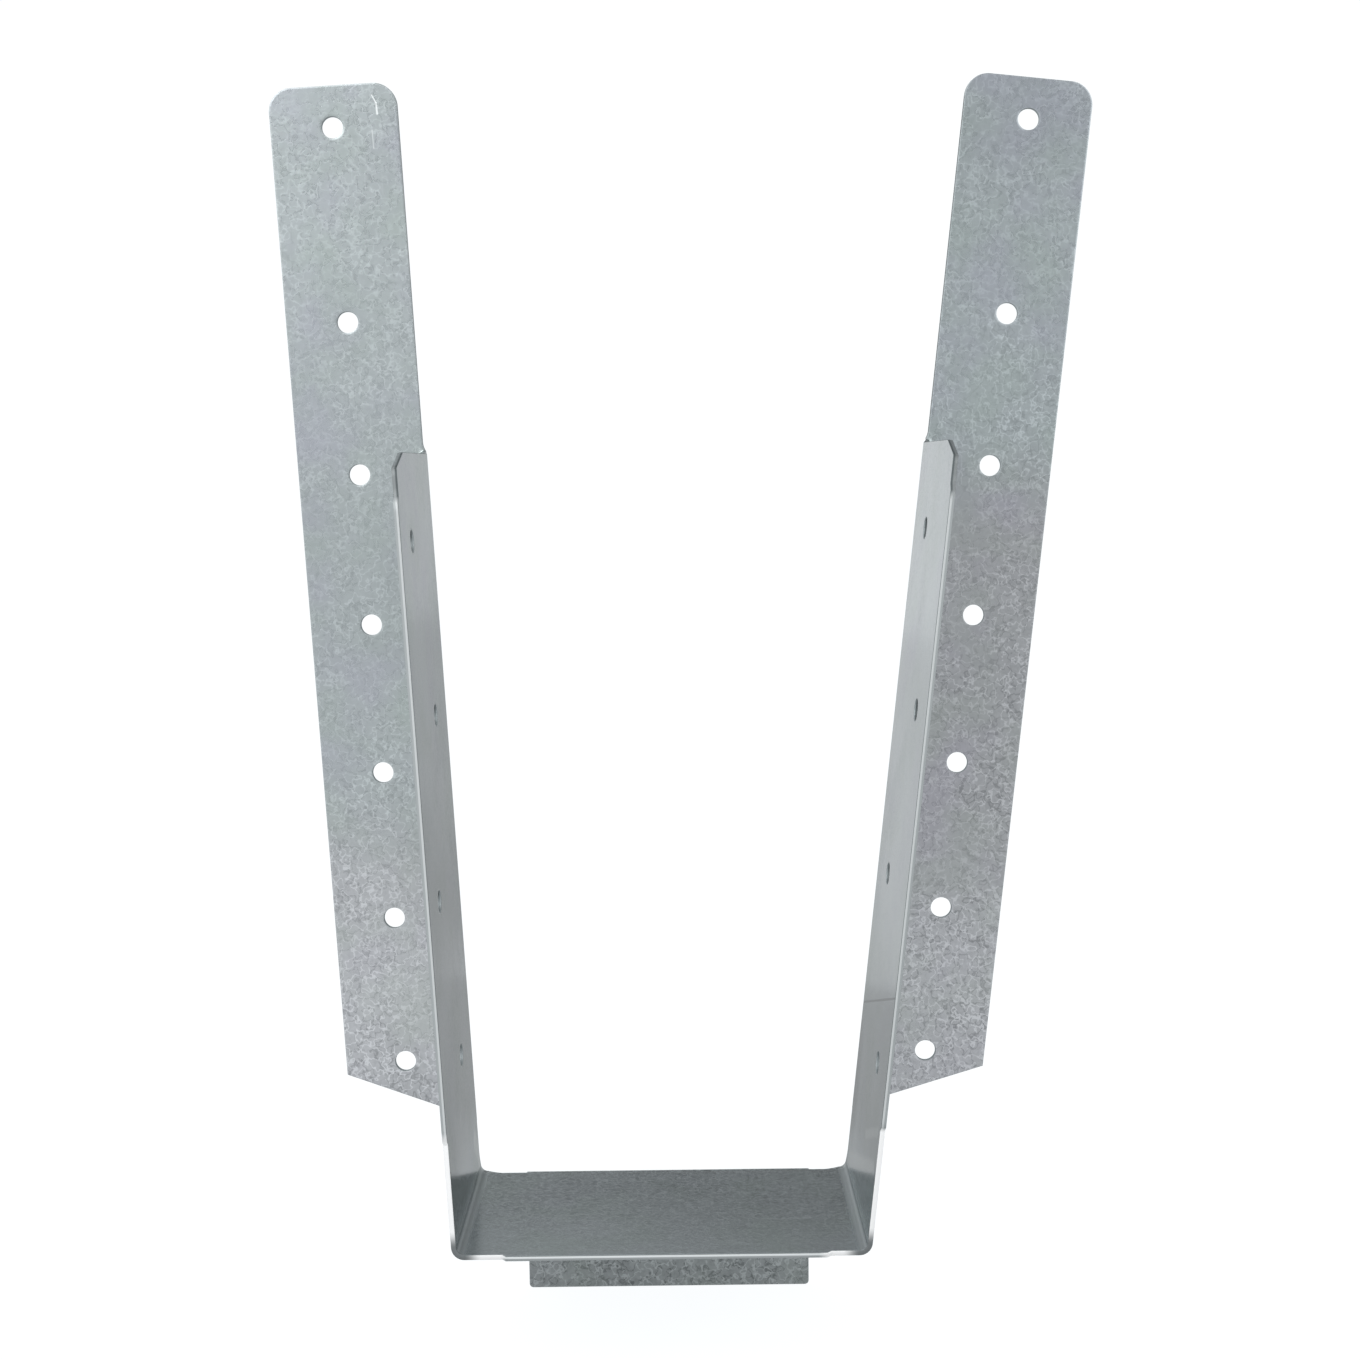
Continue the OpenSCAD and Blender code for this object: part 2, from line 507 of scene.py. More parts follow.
    def outline(self) -> list[BlankPoint]:
        """The whole outline.

        Returns:
            Its corners, anticlockwise.
        """
        left = self.half(Side.LEFT)
        back = [BlankPoint((-p.at[0], p.at[1]), left[i - 1].zone) for i, p in enumerate(left)]
        return self.half(Side.RIGHT) + back[::-1]

    def holes(self) -> list[Point2]:
        """Finds the nail holes.

        Returns:
            Their centres on the flat blank.
        """
        s = self.sizes
        found: list[Point2] = []
        for side in Side:
            spots = [(height, s.out(s.strap_hole_line)) for height in s.strap_holes]
            rows = s.plate_hole_rows if side is Side.LEFT else s.plate_hole_rows[::-1]
            spots += [(s.plate_hole_first + i * s.plate_hole_pitch, -rows[i % 2])
                      for i in range(s.plate_hole_count)]
            found += [(side.value * s.along(side, h + s.offset(side)), y) for h, y in spots]
        return found


@dataclass
class CutSheet:
    """The blank's triangles, and which of their points lie on its cut lines.

    Args:
        flat: Points of the triangles.
        faces: The triangles.
        rim: Index of each outline point.
        outline: The outline.
        out: Outward direction at each outline point.
        rings: Indices of each nail hole's ring.
    """

    flat: list[Point2]
    faces: list[Face]
    rim: list[int]
    outline: list[BlankPoint]
    out: list[Point2]
    rings: list[list[int]]


@dataclass
class FlatBlank:
    """The unfolded sheet as a mesh, with its thickness and its cut edges.

    Args:
        sizes: The sheet's sizes.
        profile: Section of the punched edge.
        margin: Width of the band of triangles along the outline.
        collar: Width of the band of triangles round a nail hole.
        ring: Number of points round a nail hole.
        straight_step: Longest step of the outline away from the folds.
        fold_step: Longest step where it crosses a fold.
        run_step: Longest step of a long run along a fold.
        long_run: Length from which a run counts as long.
        shortest: Length under which a step is left out.
        sharpest: Least divisor of an outward direction, which holds back sharp corners.
        row_front: Distance of the seat folds' first row of points from the seat's front.
        row_step: Distance between their rows.
        row_count: Number of their rows.
        line_ends: Height at which a strap fold's points start, and how far past the plate they go.
        line_step: Distance between points along a strap fold or the tab fold.
        tab_left: Where the tab fold's points start.
        tab_points: Number of points along it.
        hole_clear: Distance from a nail hole within which no such point lies.
        edge_clear: Distance from the outline's band within which none lies.
        strap_from: Distance past a strap fold's start from which the zinc is a strap's.
        bend_reach: Distance from a seat fold within which the zinc is bent.
        near_reach: Distance at which the fold's shade on the reliefs ends.
    """

    sizes: SheetSizes
    profile: EdgeProfile = EdgeProfile()
    margin: float = 0.45
    collar: float = 0.6
    ring: int = 40
    straight_step: float = 2.0
    fold_step: float = 0.3
    run_step: float = 0.5
    long_run: float = 40.0
    shortest: float = 1e-4
    sharpest: float = 0.6
    row_front: float = 1.4
    row_step: float = 1.25
    row_count: int = 41
    line_ends: Point2 = (16.0, 4.0)
    line_step: float = 1.6
    tab_left: float = -34.0
    tab_points: int = 44
    hole_clear: float = 0.9
    edge_clear: float = 0.2
    strap_from: float = 0.1
    bend_reach: float = 0.2
    near_reach: float = 6.0

    def rim_r(self, row: int) -> float:
        """Radius of a nail hole at a row of the edge's profile."""
        return self.sizes.nail_r + self.profile.rows[row][0] * self.sizes.thickness

    def circle(self, centre: Point2, radius: float) -> list[Point2]:
        """Points round a nail hole."""
        return arc(centre, radius, 0, 360, self.ring)[:-1]

    def in_fold(self, here: Point2, there: Point2) -> bool:
        """Does a straight run of the outline touch a fold?

        Args:
            here: Its start.
            there: Its end.

        Returns:
            True where it touches a fold or the strip beside one.
        """
        spans = [(0, self.sizes.seat_lines(side)) for side in Side] + [(1, self.sizes.strap_lines())]
        return any(min(here[axis], there[axis]) < max(lines) and max(here[axis], there[axis]) > min(lines)
                   for axis, lines in spans)

    def dense_outline(self) -> list[BlankPoint]:
        """Adds points to the outline, closer together where it crosses a fold.

        Returns:
            The outline with the points added.
        """
        dense: list[BlankPoint] = []
        for here, there in steps(BlankOutline(self.sizes).outline()):
            (x0, y0), (x1, y1) = here.at, there.at
            length = math.dist(here.at, there.at)
            if length < self.shortest:
                continue
            step = self.straight_step
            if self.in_fold(here.at, there.at):
                step = self.fold_step if length < self.long_run else self.run_step
            count = math.ceil(length / step)
            for t in (k / count for k in range(count)):
                dense.append(BlankPoint((x0 + (x1 - x0) * t, y0 + (y1 - y0) * t), here.zone))
        return dense

    def normals(self, loop: list[Point2]) -> list[Point2]:
        """Outward direction at each point of a loop, lengthened at its corners.

        Args:
            loop: The loop's points, anticlockwise.

        Returns:
            A direction for each point.
        """
        sides = []
        for a, b in steps(loop):
            length = math.dist(a, b)
            sides.append(((b[1] - a[1]) / length, (a[0] - b[0]) / length))
        found = []
        for (ax, ay), (bx, by) in zip([sides[-1], *sides], sides):
            share = max(1 + ax * bx + ay * by, self.sharpest)
            found.append(((ax + bx) / share, (ay + by) / share))
        return found

    def lattice(self) -> list[Point2]:
        """Points inside the folds, so that each fold turns in small steps.

        Returns:
            Points on the flat blank, some of them past its edges.
        """
        s = self.sizes
        points: list[Point2] = []
        rows = [-s.depth + self.row_front + self.row_step * i for i in range(self.row_count)]
        for side in Side:
            points += [(x, y) for x in s.seat_lines(side) for y in rows]
            foot, past = self.line_ends
            low, high = s.along(side, foot), s.along(side, s.plate_height + past)
            count = int((high - low) / self.line_step)
            stops = [low + (high - low) * i / count for i in range(count + 1)]
            points += [(side.value * x, y) for x in stops for y in s.strap_lines()]
        stops = [self.tab_left + self.line_step * i for i in range(self.tab_points)]
        return points + [(x, y) for x in stops for y in s.strap_lines()]

    @staticmethod
    def inside(point: Point2, loop: list[Point2]) -> bool:
        """Is a point inside a loop?

        Args:
            point: The point.
            loop: The loop's points.

        Returns:
            True where it is.
        """
        x, y = point
        odd = False
        for (x0, y0), (x1, y1) in steps(loop):
            if (y0 > y) != (y1 > y) and x < (x1 - x0) * (y - y0) / (y1 - y0) + x0:
                odd = not odd
        return odd

    def clear(self, point: Point2, inner: list[Point2], holes: list[Point2]) -> bool:
        """Does a point lie on the sheet, away from its edges and holes?

        Args:
            point: The point.
            inner: The band's inner edge along the outline.
            holes: Centres of the nail holes.

        Returns:
            True where it does.
        """
        x, y = point
        if min(math.dist(point, c) for c in holes) < self.sizes.nail_r + self.hole_clear:
            return False
        away = min((x - a) ** 2 + (y - b) ** 2 for a, b in inner)
        return self.inside(point, inner) and away > self.edge_clear ** 2

    @staticmethod
    def sheet_side(faces: list[Face], cuts: set[tuple[int, int]]) -> list[Face]:
        """Keeps the triangles on the sheet's side of the cut lines.

        Args:
            faces: Triangles that also fill the holes and the hollows of the outline.
            cuts: Every step along the cut lines, with the sheet on its left.

        Returns:
            The triangles of the sheet alone.
        """
        owner = {(face[k - 1], face[k]): i for i, face in enumerate(faces) for k in range(3)}
        reached = {owner[cut] for cut in cuts}
        front = list(reached)
        while front:
            face = faces[front.pop()]
            for k in range(3):
                step = (face[k - 1], face[k])
                beyond = owner.get(step[::-1])
                if step not in cuts and beyond is not None and beyond not in reached:
                    reached.add(beyond)
                    front.append(beyond)
        return [faces[i] for i in sorted(reached)]

    def cut(self) -> CutSheet:
        """Cuts the blank along its outline and its nail holes.

        Returns:
            Its triangles, with open rings where the nail hole rims go.
        """
        dense = self.dense_outline()
        loop = [p.at for p in dense]
        out = self.normals(loop)
        inner = [(x - nx * self.margin, y - ny * self.margin) for (x, y), (nx, ny) in zip(loop, out)]
        holes = BlankOutline(self.sizes).holes()
        verts, count = loop + inner, len(loop)
        edges = steps(range(count)) + steps(range(count, 2 * count))
        rings = []
        for centre in holes:
            rings.append(range(len(verts), len(verts) + self.ring))
            for radius in (self.rim_r(0), self.sizes.nail_r + self.collar):
                edges += steps(range(len(verts), len(verts) + self.ring))
                verts += self.circle(centre, radius)
        verts += [p for p in self.lattice() if self.clear(p, inner, holes)]
        flat, _, faces, sources, _, _ = delaunay_2d_cdt([Vector(v) for v in verts], edges, [], 0, 1e-6, True)
        place = {old: new for new, group in enumerate(sources) for old in group}
        rim = [place[i] for i in range(count)]
        rings = [[place[i] for i in ring] for ring in rings]
        cuts = set(steps(rim)) | {(b, a) for ring in rings for a, b in steps(ring)}
        return CutSheet([tuple(v) for v in flat], self.sheet_side(faces, cuts), rim, dense, out, rings)

    def mesh(self) -> bpy.types.Mesh:
        """Gives the cut blank its second side and joins both by the cut edge.

        Returns:
            A mesh in millimetres with the attributes that the finish reads.
        """
        cut, t, rows = self.cut(), self.sizes.thickness, self.profile.rows
        top = {i: (*cut.flat[i], 0.0) for face in cut.faces for i in face}
        low = {i: (x, y, -t) for i, (x, y, _) in top.items()}
        for i, point, n in zip(cut.rim, cut.outline, cut.out):
            (x, y), first, last = point.at, rows[0][0] * t, rows[-1][0] * t
            top[i] = (x - n[0] * first, y - n[1] * first, 0.0)
            low[i] = (x - n[0] * last, y - n[1] * last, -t)
        for ring, centre in zip(cut.rings, BlankOutline(self.sizes).holes()):
            low.update({i: (*p, -t) for i, p in zip(ring, self.circle(centre, self.rim_r(-1)))})
        zones = dict.fromkeys(top, Zone.SHEARED) | {i: p.zone for i, p in zip(cut.rim, cut.outline)}
        worn = set(cut.rim).union(*cut.rings)
        points = [SheetPoint(p, 0.0, 0.0, i in worn, zones[i]) for i, p in top.items()]
        points += [SheetPoint(p, 1.0, float(zones[i] is Zone.RELIEF), i in worn, zones[i])
                   for i, p in low.items()]
        up_id = {i: k for k, i in enumerate(top)}
        low_id = {i: len(top) + k for k, i in enumerate(top)}
        levels = [[up_id[i] for i in cut.rim]]
        for back, share in rows[1:-1]:
            levels.append(list(range(len(points), len(points) + len(cut.rim))))
            for point, n in zip(cut.outline, cut.out):
                x, y = point.at[0] - n[0] * back * t, point.at[1] - n[1] * back * t
                points.append(SheetPoint((x, y, -share * t), share, 1.0, True, point.zone))
        levels.append([low_id[i] for i in cut.rim])
        polys = [[up_id[i] for i in f] for f in cut.faces] + [[low_id[i] for i in f[::-1]] for f in cut.faces]
        calm, bent, near = zip(*(self.flat_kind(p.at[0], p.at[1]) for p in points))
        return marked_mesh("flat_blank", [p.at for p in points], polys + wall(levels, inward=False), {
            "cut_depth": [p.depth for p in points], "cut_mask": [p.cut for p in points],
            "edge_wear": [float(p.worn) for p in points], "calm": calm, "bent": bent, "near_fold": near,
            "relief": [p.zone.value[0] for p in points], "nose": [p.zone.value[1] for p in points]})

    def flat_kind(self, x: float, y: float) -> Point3:
        """Says what part of the folded sheet a place on the blank becomes.

        Args:
            x: Place across the blank.
            y: Place along it.

        Returns:
            How calm the zinc is there, whether it lies in a seat fold, and how near it is to one.
        """
        s = self.sizes
        side = Side.RIGHT if x > 0 else Side.LEFT
        start, end = s.seat_end(side), s.plate_start(side)
        if y > -s.fold_out + self.strap_from:
            return 0.0, 0.0, 0.0
        away = max(start - abs(x), abs(x) - end, 0.0)
        calm = 1.0 if abs(x) < end else PLATE_CALM
        return calm, float(away < self.bend_reach), max(0.0, 1.0 - away / self.near_reach)

    def hole_rim(self) -> bpy.types.Mesh:
        """Makes the wall of one nail hole, round the origin of the flat blank.

        Returns:
            A mesh in millimetres, open at its top and its foot.
        """
        rows, count = self.profile.rows, self.ring
        verts, depth, mask = [], [], []
        for k, (_, share) in enumerate(rows):
            circle = self.circle((0, 0), self.rim_r(k))
            verts += [(x, y, -share * self.sizes.thickness) for x, y in circle]
            depth += [share] * count
            mask += [float(0 < k < len(rows) - 1)] * count
        ways = [x for x, _ in self.circle((0, 0), 1.0)]
        levels = [list(range(k * count, (k + 1) * count)) for k in range(len(rows))]
        return marked_mesh("hole_rim", verts, wall(levels, inward=True), {
            "cut_depth": depth, "cut_mask": mask, "bore": mask, "edge_wear": [1.0] * len(depth),
            "bore_way": ways * len(rows)})


class Nodes:
    """Small helper that adds linked nodes to a tree.

    Args:
        tree: The node tree to fill.
    """

    def __init__(self, tree: bpy.types.NodeTree) -> None:
        self.tree = tree

    @classmethod
    def group(cls, name: str, kind: str, inputs: dict[str, str], outputs: dict[str, str]) -> "Nodes":
        """Starts a node group.

        Args:
            name: Its name.
            kind: Shader or Geometry.
            inputs: Kind of each input, by name.
            outputs: Kind of each output, by name.

        Returns:
            A helper that fills it.
        """
        tree = bpy.data.node_groups.new(name, kind + "NodeTree")
        for way, sockets in (("INPUT", inputs), ("OUTPUT", outputs)):
            for label, sort in sockets.items():
                tree.interface.new_socket(label, in_out=way, socket_type="NodeSocket" + sort)
        return cls(tree)

    @classmethod
    def emptied(cls, owner: Union[bpy.types.Material, bpy.types.World]) -> "Nodes":
        """Gives a material or a world an empty node tree.

        Args:
            owner: The material or the world.

        Returns:
            A helper that fills the tree.
        """
        owner.use_nodes = True
        owner.node_tree.nodes.clear()
        return cls(owner.node_tree)

    def add(self, kind: str, values: dict[int | str, Feed] | None = None,
            **settings: object) -> bpy.types.Node:
        """Adds a node.

        Args:
            kind: The node's type name.
            values: What each input holds or is linked to, by name or index.
            settings: The node's own properties.

        Returns:
            The new node.
        """
        node = self.tree.nodes.new(kind)
        for name, value in settings.items():
            setattr(node, name, value)
        for key, value in (values or {}).items():
            if isinstance(value, bpy.types.Node):
                value = value.outputs[0]
            if isinstance(value, Socket):
                self.tree.links.new(value, node.inputs[key])
            else:
                node.inputs[key].default_value = value
        return node

    def use(self, group: bpy.types.NodeTree, **values: Feed) -> dict[str, Socket]:
        """Places a shader group and returns its outputs by name."""
        node = self.add("ShaderNodeGroup", values, node_tree=group)
        return {socket.name: socket for socket in node.outputs}

    def given(self) -> Sequence[Socket]:
        """Adds a group's own inputs."""
        return self.add("NodeGroupInput").outputs

    def split(self, vector: Feed) -> Sequence[Socket]:
        """Splits a vector into its X, Y and Z."""
        return self.add("ShaderNodeSeparateXYZ", {0: vector}).outputs

    def noise(self, vector: Feed, scale: float, detail: float, output: int | str = 0) -> Socket:
        """Adds a noise texture and returns its value, or another of its outputs."""
        values = {"Vector": vector, "Scale": scale, "Detail": detail}
        return self.add("ShaderNodeTexNoise", values).outputs[output]

    def math(self, operation: str, *values: Feed, clamp: bool = False) -> Socket:
        """Adds a Math node and returns its result."""
        kind = "ShaderNodeMath"
        return self.add(kind, dict(enumerate(values)), operation=operation, use_clamp=clamp).outputs[0]

    def times(self, first: Feed, *others: Feed) -> Socket:
        """Multiplies values, from left to right."""
        return reduce(partial(self.math, "MULTIPLY"), others, first)

    def plus(self, first: Feed, *others: Feed) -> Socket:
        """Adds values up, from left to right."""
        return reduce(partial(self.math, "ADD"), others, first)

    def less(self, value: Feed, other: Feed) -> Socket:
        """Takes one value from another."""
        return self.math("SUBTRACT", value, other)

    def vector(self, operation: str, *values: Feed) -> Socket:
        """Adds a Vector Math node and returns its vector."""
        return self.add("ShaderNodeVectorMath", dict(enumerate(values)), operation=operation).outputs[0]

    def dot(self, a: Feed, b: Feed) -> Socket:
        """Adds a dot product and returns its value."""
        return self.add("ShaderNodeVectorMath", {0: a, 1: b}, operation="DOT_PRODUCT").outputs["Value"]

    def scale(self, a: Feed, by: Feed) -> Socket:
        """Adds a vector scaled by a value."""
        return self.add("ShaderNodeVectorMath", {0: a, "Scale": by}, operation="SCALE").outputs[0]

    def mix(self, share: Feed, a: Feed, b: Feed) -> Socket:
        """Mixes two values."""
        return self.add("ShaderNodeMix", {0: share, 2: a, 3: b}, data_type="FLOAT").outputs[0]

    def blend(self, share: Feed, a: Feed, b: Feed, how: str = "MIX") -> Socket:
        """Mixes two colours."""
        node = self.add("ShaderNodeMix", {0: share, 6: a, 7: b}, data_type="RGBA", blend_type=how)
        return node.outputs[2]

    def ease(self, value: Feed, low: float, high: float, to: Point2 = (0.0, 1.0)) -> Socket:
        """Maps a value from one range to another with a soft start and end."""
        values = {"Value": value, "From Min": low, "From Max": high, "To Min": to[0], "To Max": to[1]}
        return self.add("ShaderNodeMapRange", values, interpolation_type="SMOOTHSTEP").outputs[0]


@dataclass
class PressBrake:
    """Geometry Nodes that fold the flat blank.

    Args:
        sizes: The sheet's sizes.
        weld: Distance within which the hole rims join the blank.
        strap_fold_foot: Height on the side plates from which the strap folds bend the blank.
        tab_fold_half: Half the stretch that the tab fold bends.
        relax_below: How far below a plate's top its strap starts to leave the fold.
        relax_run: Height over which it does so.
        far: A place past every end of the blank.
        never: A place where no fold relaxes.
    """

    sizes: SheetSizes
    weld: float = 0.002
    strap_fold_foot: float = 11.0
    tab_fold_half: float = 36.5
    relax_below: float = 0.1
    relax_run: float = 1.1
    far: float = 1000.0
    never: float = 1e6

    def __post_init__(self) -> None:
        """Builds the fold that every turn places."""
        self.fold = self.fold_group()

    def fold_group(self) -> bpy.types.NodeTree:
        """One fold about a straight line, as a group.

        Returns:
            A group that turns what lies across the line, within a range along it. Past
            Relax the sheet stays flat beside the fold instead of following its arc.
        """
        numbers = ("Angle", "Inside Radius", "Neutral Radius", "Hand", "From", "To", "Relax")
        n = Nodes.group("fold_about_line", "Geometry", {
            "Geometry": "Geometry", **dict.fromkeys(("Origin", "Across", "Up"), "Vector"),
            **dict.fromkeys(numbers, "Float")}, {"Geometry": "Geometry"})
        given = n.given()
        angle, inside, neutral, hand, start, end, relax = (given[name] for name in numbers)
        place = n.add("GeometryNodeInputPosition")
        along = n.vector("CROSS_PRODUCT", given["Up"], given["Across"])
        local = n.vector("SUBTRACT", place, given["Origin"])
        across, up, line = (n.dot(local, axis) for axis in (given["Across"], given["Up"], along))
        line = n.times(line, hand)
        turned = n.math("MAXIMUM", n.math("DIVIDE", across, neutral), 0.0)
        past = n.less(across, n.times(angle, neutral))
        slack = n.ease(n.less(line, relax), 0.0, self.relax_run)
        turned = n.mix(slack, n.math("MINIMUM", turned, angle), angle)
        rest = n.mix(slack, n.math("MAXIMUM", past, 0.0), past)
        radius, sine, cosine = n.less(inside, up), n.math("SINE", turned), n.math("COSINE", turned)
        new_across = n.plus(n.times(radius, sine), n.times(rest, cosine))
        new_up = n.plus(n.less(inside, n.times(radius, cosine)), n.times(rest, sine))
        moved = n.vector("ADD", n.scale(given["Across"], n.less(new_across, across)),
                         n.scale(given["Up"], n.less(new_up, up)))
        chosen = n.times(n.math("GREATER_THAN", across, 0.0), n.math("GREATER_THAN", line, start),
                         n.math("LESS_THAN", line, end))
        done = n.add("GeometryNodeSetPosition", {
            "Geometry": given["Geometry"], "Selection": chosen, "Offset": moved})
        n.add("NodeGroupOutput", {"Geometry": done})
        return n.tree

    def turn(self, n: Nodes, part: Feed, values: dict[str, Feed], **own: Feed) -> bpy.types.Node:
        """Adds one fold to the tree, with the values that its kind shares and those of its own."""
        return n.add("GeometryNodeGroup", {**values, **own, "Geometry": part}, node_tree=self.fold)

    def folding(self, material: bpy.types.Material) -> bpy.types.NodeTree:
        """The whole job: nail hole rims set into the blank, then every fold in its order.

        Args:
            material: Finish that the sheet comes out with.

        Returns:
            A tree with named inputs for the sheet's sizes.
        """
        s = self.sizes
        numbers = ("Thickness", "Fold Radius", "Neutral Radius", "Lean Left", "Lean Right")
        n = Nodes.group("fold_sheet", "Geometry", {
            "Geometry": "Geometry", "Hole Rim": "Object", "Hole Centres": "Object",
            **dict.fromkeys(numbers, "Float")}, {"Geometry": "Geometry"})
        given = n.given()
        rim, spots = (n.add("GeometryNodeObjectInfo", {"Object": given[name]}).outputs["Geometry"]
                      for name in ("Hole Rim", "Hole Centres"))
        rims = n.add("GeometryNodeInstanceOnPoints", {"Points": spots, "Instance": rim})
        real = n.add("GeometryNodeRealizeInstances", {"Geometry": rims})
        joined = n.add("GeometryNodeJoinGeometry", {0: given["Geometry"]})
        n.tree.links.new(real.outputs[0], joined.inputs[0])
        part = n.add("GeometryNodeMergeByDistance", {"Geometry": joined, "Distance": self.weld})
        under = n.add("ShaderNodeCombineXYZ", {0: 0.0, 1: -s.fold_out, 2: n.times(given["Thickness"], -1.0)})
        down = {"Origin": under, "Across": (0, 1, 0), "Up": (0, 0, -1), "Angle": math.pi / 2, "To": self.far,
                "Inside Radius": given["Fold Radius"], "Neutral Radius": given["Neutral Radius"]}
        for side in Side:
            top = s.plate_height + s.offset(side)
            part = self.turn(n, part, down, Hand=side.value, From=s.along(side, self.strap_fold_foot),
                             Relax=s.along(side, top - self.relax_below))
        part = self.turn(n, part, down, Hand=1.0, From=-self.tab_fold_half, To=self.tab_fold_half,
                         Relax=self.never)
        for side, lean in ((Side.LEFT, given["Lean Left"]), (Side.RIGHT, given["Lean Right"])):
            up = {**down, "Origin": (side.value * s.seat_end(side), 0, 0), "Across": (side.value, 0, 0),
                  "Up": (0, 0, 1), "Angle": n.less(math.pi / 2, n.math("RADIANS", lean))}
            part = self.turn(n, part, up, Hand=1.0, From=-self.far, Relax=self.never)
        smooth = n.add("GeometryNodeSetShadeSmooth", {"Geometry": part})
        metres = n.add("GeometryNodeTransform", {"Geometry": smooth, "Scale": (MM, MM, MM)})
        real = n.add("GeometryNodeRealizeInstances", {"Geometry": metres})
        done = n.add("GeometryNodeSetMaterial", {"Geometry": real, "Material": material})
        n.add("NodeGroupOutput", {"Geometry": done})
        return n.tree


@dataclass(frozen=True)
class CutEdgeFinish:
    """Bare and zinc-smeared steel of the cut edges and nail holes, with painted highlight and painted shade
    on some of them.

    Args:
        burnished: The smooth upper part of a sheared edge.
        bright: The same at the seat's height, as a painted highlight.
        torn: The rough lower part of a sheared edge.
        crease: The dark line at the top of a front edge.
        relief: The corner reliefs, painted white as a highlight.
        relief_shade: The corner reliefs beside a fold, in painted shade.
        nose_top: Upper part of the edge round the side plates' noses, in painted shade.
        nose_low: Its lower part, in lighter painted shade.
        bore: Wall of a nail hole.
        bore_deep: The wall deep in a side plate's hole, in painted shade.
        at_seat: How bright the burnished steel is over the height, in metres, with a painted highlight low at
            the seat.
        shear_end: Where the burnish turns to the torn part, over the sheet's thickness.
        crease_depth: How strong the crease is, over the thickness.
        beside_fold: How strong the reliefs' shade is, by nearness to a fold.
        nose_depth: Where the nose turns from its upper to its lower part, over the thickness.
        right_height: Height over which the right plate's holes are lit from one side.
        right_way: How deep their shade is, from one side of the hole to the other.
        bore_depth: How strong the deep shade is, over the thickness.
        bore_height: The same over the height.
        front_edge: How far in front of the header's face the crease begins.
        plate_edge: The same for the shade in the side plates' holes.
    """

    burnished: Colour = (0.64, 0.663, 0.667, 1)
    bright: Colour = (0.82, 0.845, 0.85, 1)
    torn: Colour = (0.43, 0.457, 0.463, 1)
    crease: Colour = (0.17, 0.19, 0.195, 1)
    relief: Colour = (1.0, 1.0, 1.0, 1)
    relief_shade: Colour = (0.22, 0.235, 0.24, 1)
    nose_top: Colour = (0.15, 0.17, 0.175, 1)
    nose_low: Colour = (0.30, 0.32, 0.325, 1)
    bore: Colour = (0.42, 0.46, 0.47, 1)
    bore_deep: Colour = (0.15, 0.167, 0.172, 1)
    at_seat: Ramp = (0.004, 0.012, (1.0, 0.0))
    shear_end: Ramp = (0.44, 0.56, (0.0, 1.0))
    crease_depth: Ramp = (0.04, 0.12, (1.0, 0.0))
    beside_fold: Ramp = (0.35, 1.0, (0.0, 1.0))
    nose_depth: Ramp = (0.25, 0.50, (0.0, 1.0))
    right_height: Ramp = (0.05, 0.12, (0.0, 1.0))
    right_way: Ramp = (-0.1, 0.6, (0.60, 0.95))
    bore_depth: Ramp = (0.16, 0.34, (0.0, 1.0))
    bore_height: Ramp = (0.03, 0.08, (0.6, 1.0))
    front_edge: float = -0.04
    plate_edge: float = -0.01

    def group(self) -> bpy.types.NodeTree:
        """Builds the shader group that reads the sheet's attributes.

        Returns:
            A group that puts out the cut edges' colour and cover, the wear along them, and how
            calm and how bent each flat is.
        """
        n = Nodes.group("cut_edge", "Shader", {"Vector": "Vector"}, {
            "Colour": "Color", **dict.fromkeys(("Cover", "Wear", "Calm", "Bent"), "Float")})
        across, far, up = n.split(n.given()[0])
        names = ("cut_depth", "cut_mask", "relief", "nose", "bore", "bore_way", "edge_wear", "calm", "bent",
                 "near_fold")
        depth, cover, relief, nose, bore, way, wear, calm, bent, near = (
            n.add("ShaderNodeAttribute", attribute_name=name).outputs["Fac"] for name in names)
        # Burnished steel, with a painted highlight at the seat's height.
        burnish_and_highlight = n.blend(n.ease(up, *self.at_seat), self.burnished, self.bright)
        colour = n.blend(n.ease(depth, *self.shear_end), burnish_and_highlight, self.torn)
        crease = n.times(n.ease(depth, *self.crease_depth), n.math("LESS_THAN", far, self.front_edge))
        colour = n.blend(crease, colour, self.crease)
        # Corner reliefs: a painted white highlight that turns to painted shade beside the folds.
        cut = n.blend(n.ease(near, *self.beside_fold), self.relief, self.relief_shade)
        colour = n.blend(relief, colour, cut)
        # Painted shade on the edge round the side plates' noses.
        nose_painted_shade = n.blend(n.ease(depth, *self.nose_depth), self.nose_top, self.nose_low)
        colour = n.blend(nose, colour, nose_painted_shade)
        colour = n.blend(bore, colour, self.bore)
        right = n.math("GREATER_THAN", across, 0.0)
        way = n.times(way, n.mix(right, -1.0, 1.0))
        open_right = n.times(right, n.ease(up, *self.right_height))
        shaded = n.mix(open_right, n.ease(way, *self.right_way), 1.0)
        # Painted shade deep in the side plates' holes.
        deep = n.times(n.ease(depth, *self.bore_depth), n.math("LESS_THAN", far, self.plate_edge), bore,
                       shaded, n.ease(up, *self.bore_height))
        colour = n.blend(deep, colour, self.bore_deep)
        n.add("NodeGroupOutput", {"Colour": colour, "Cover": cover, "Wear": wear, "Calm": calm, "Bent": bent})
        return n.tree


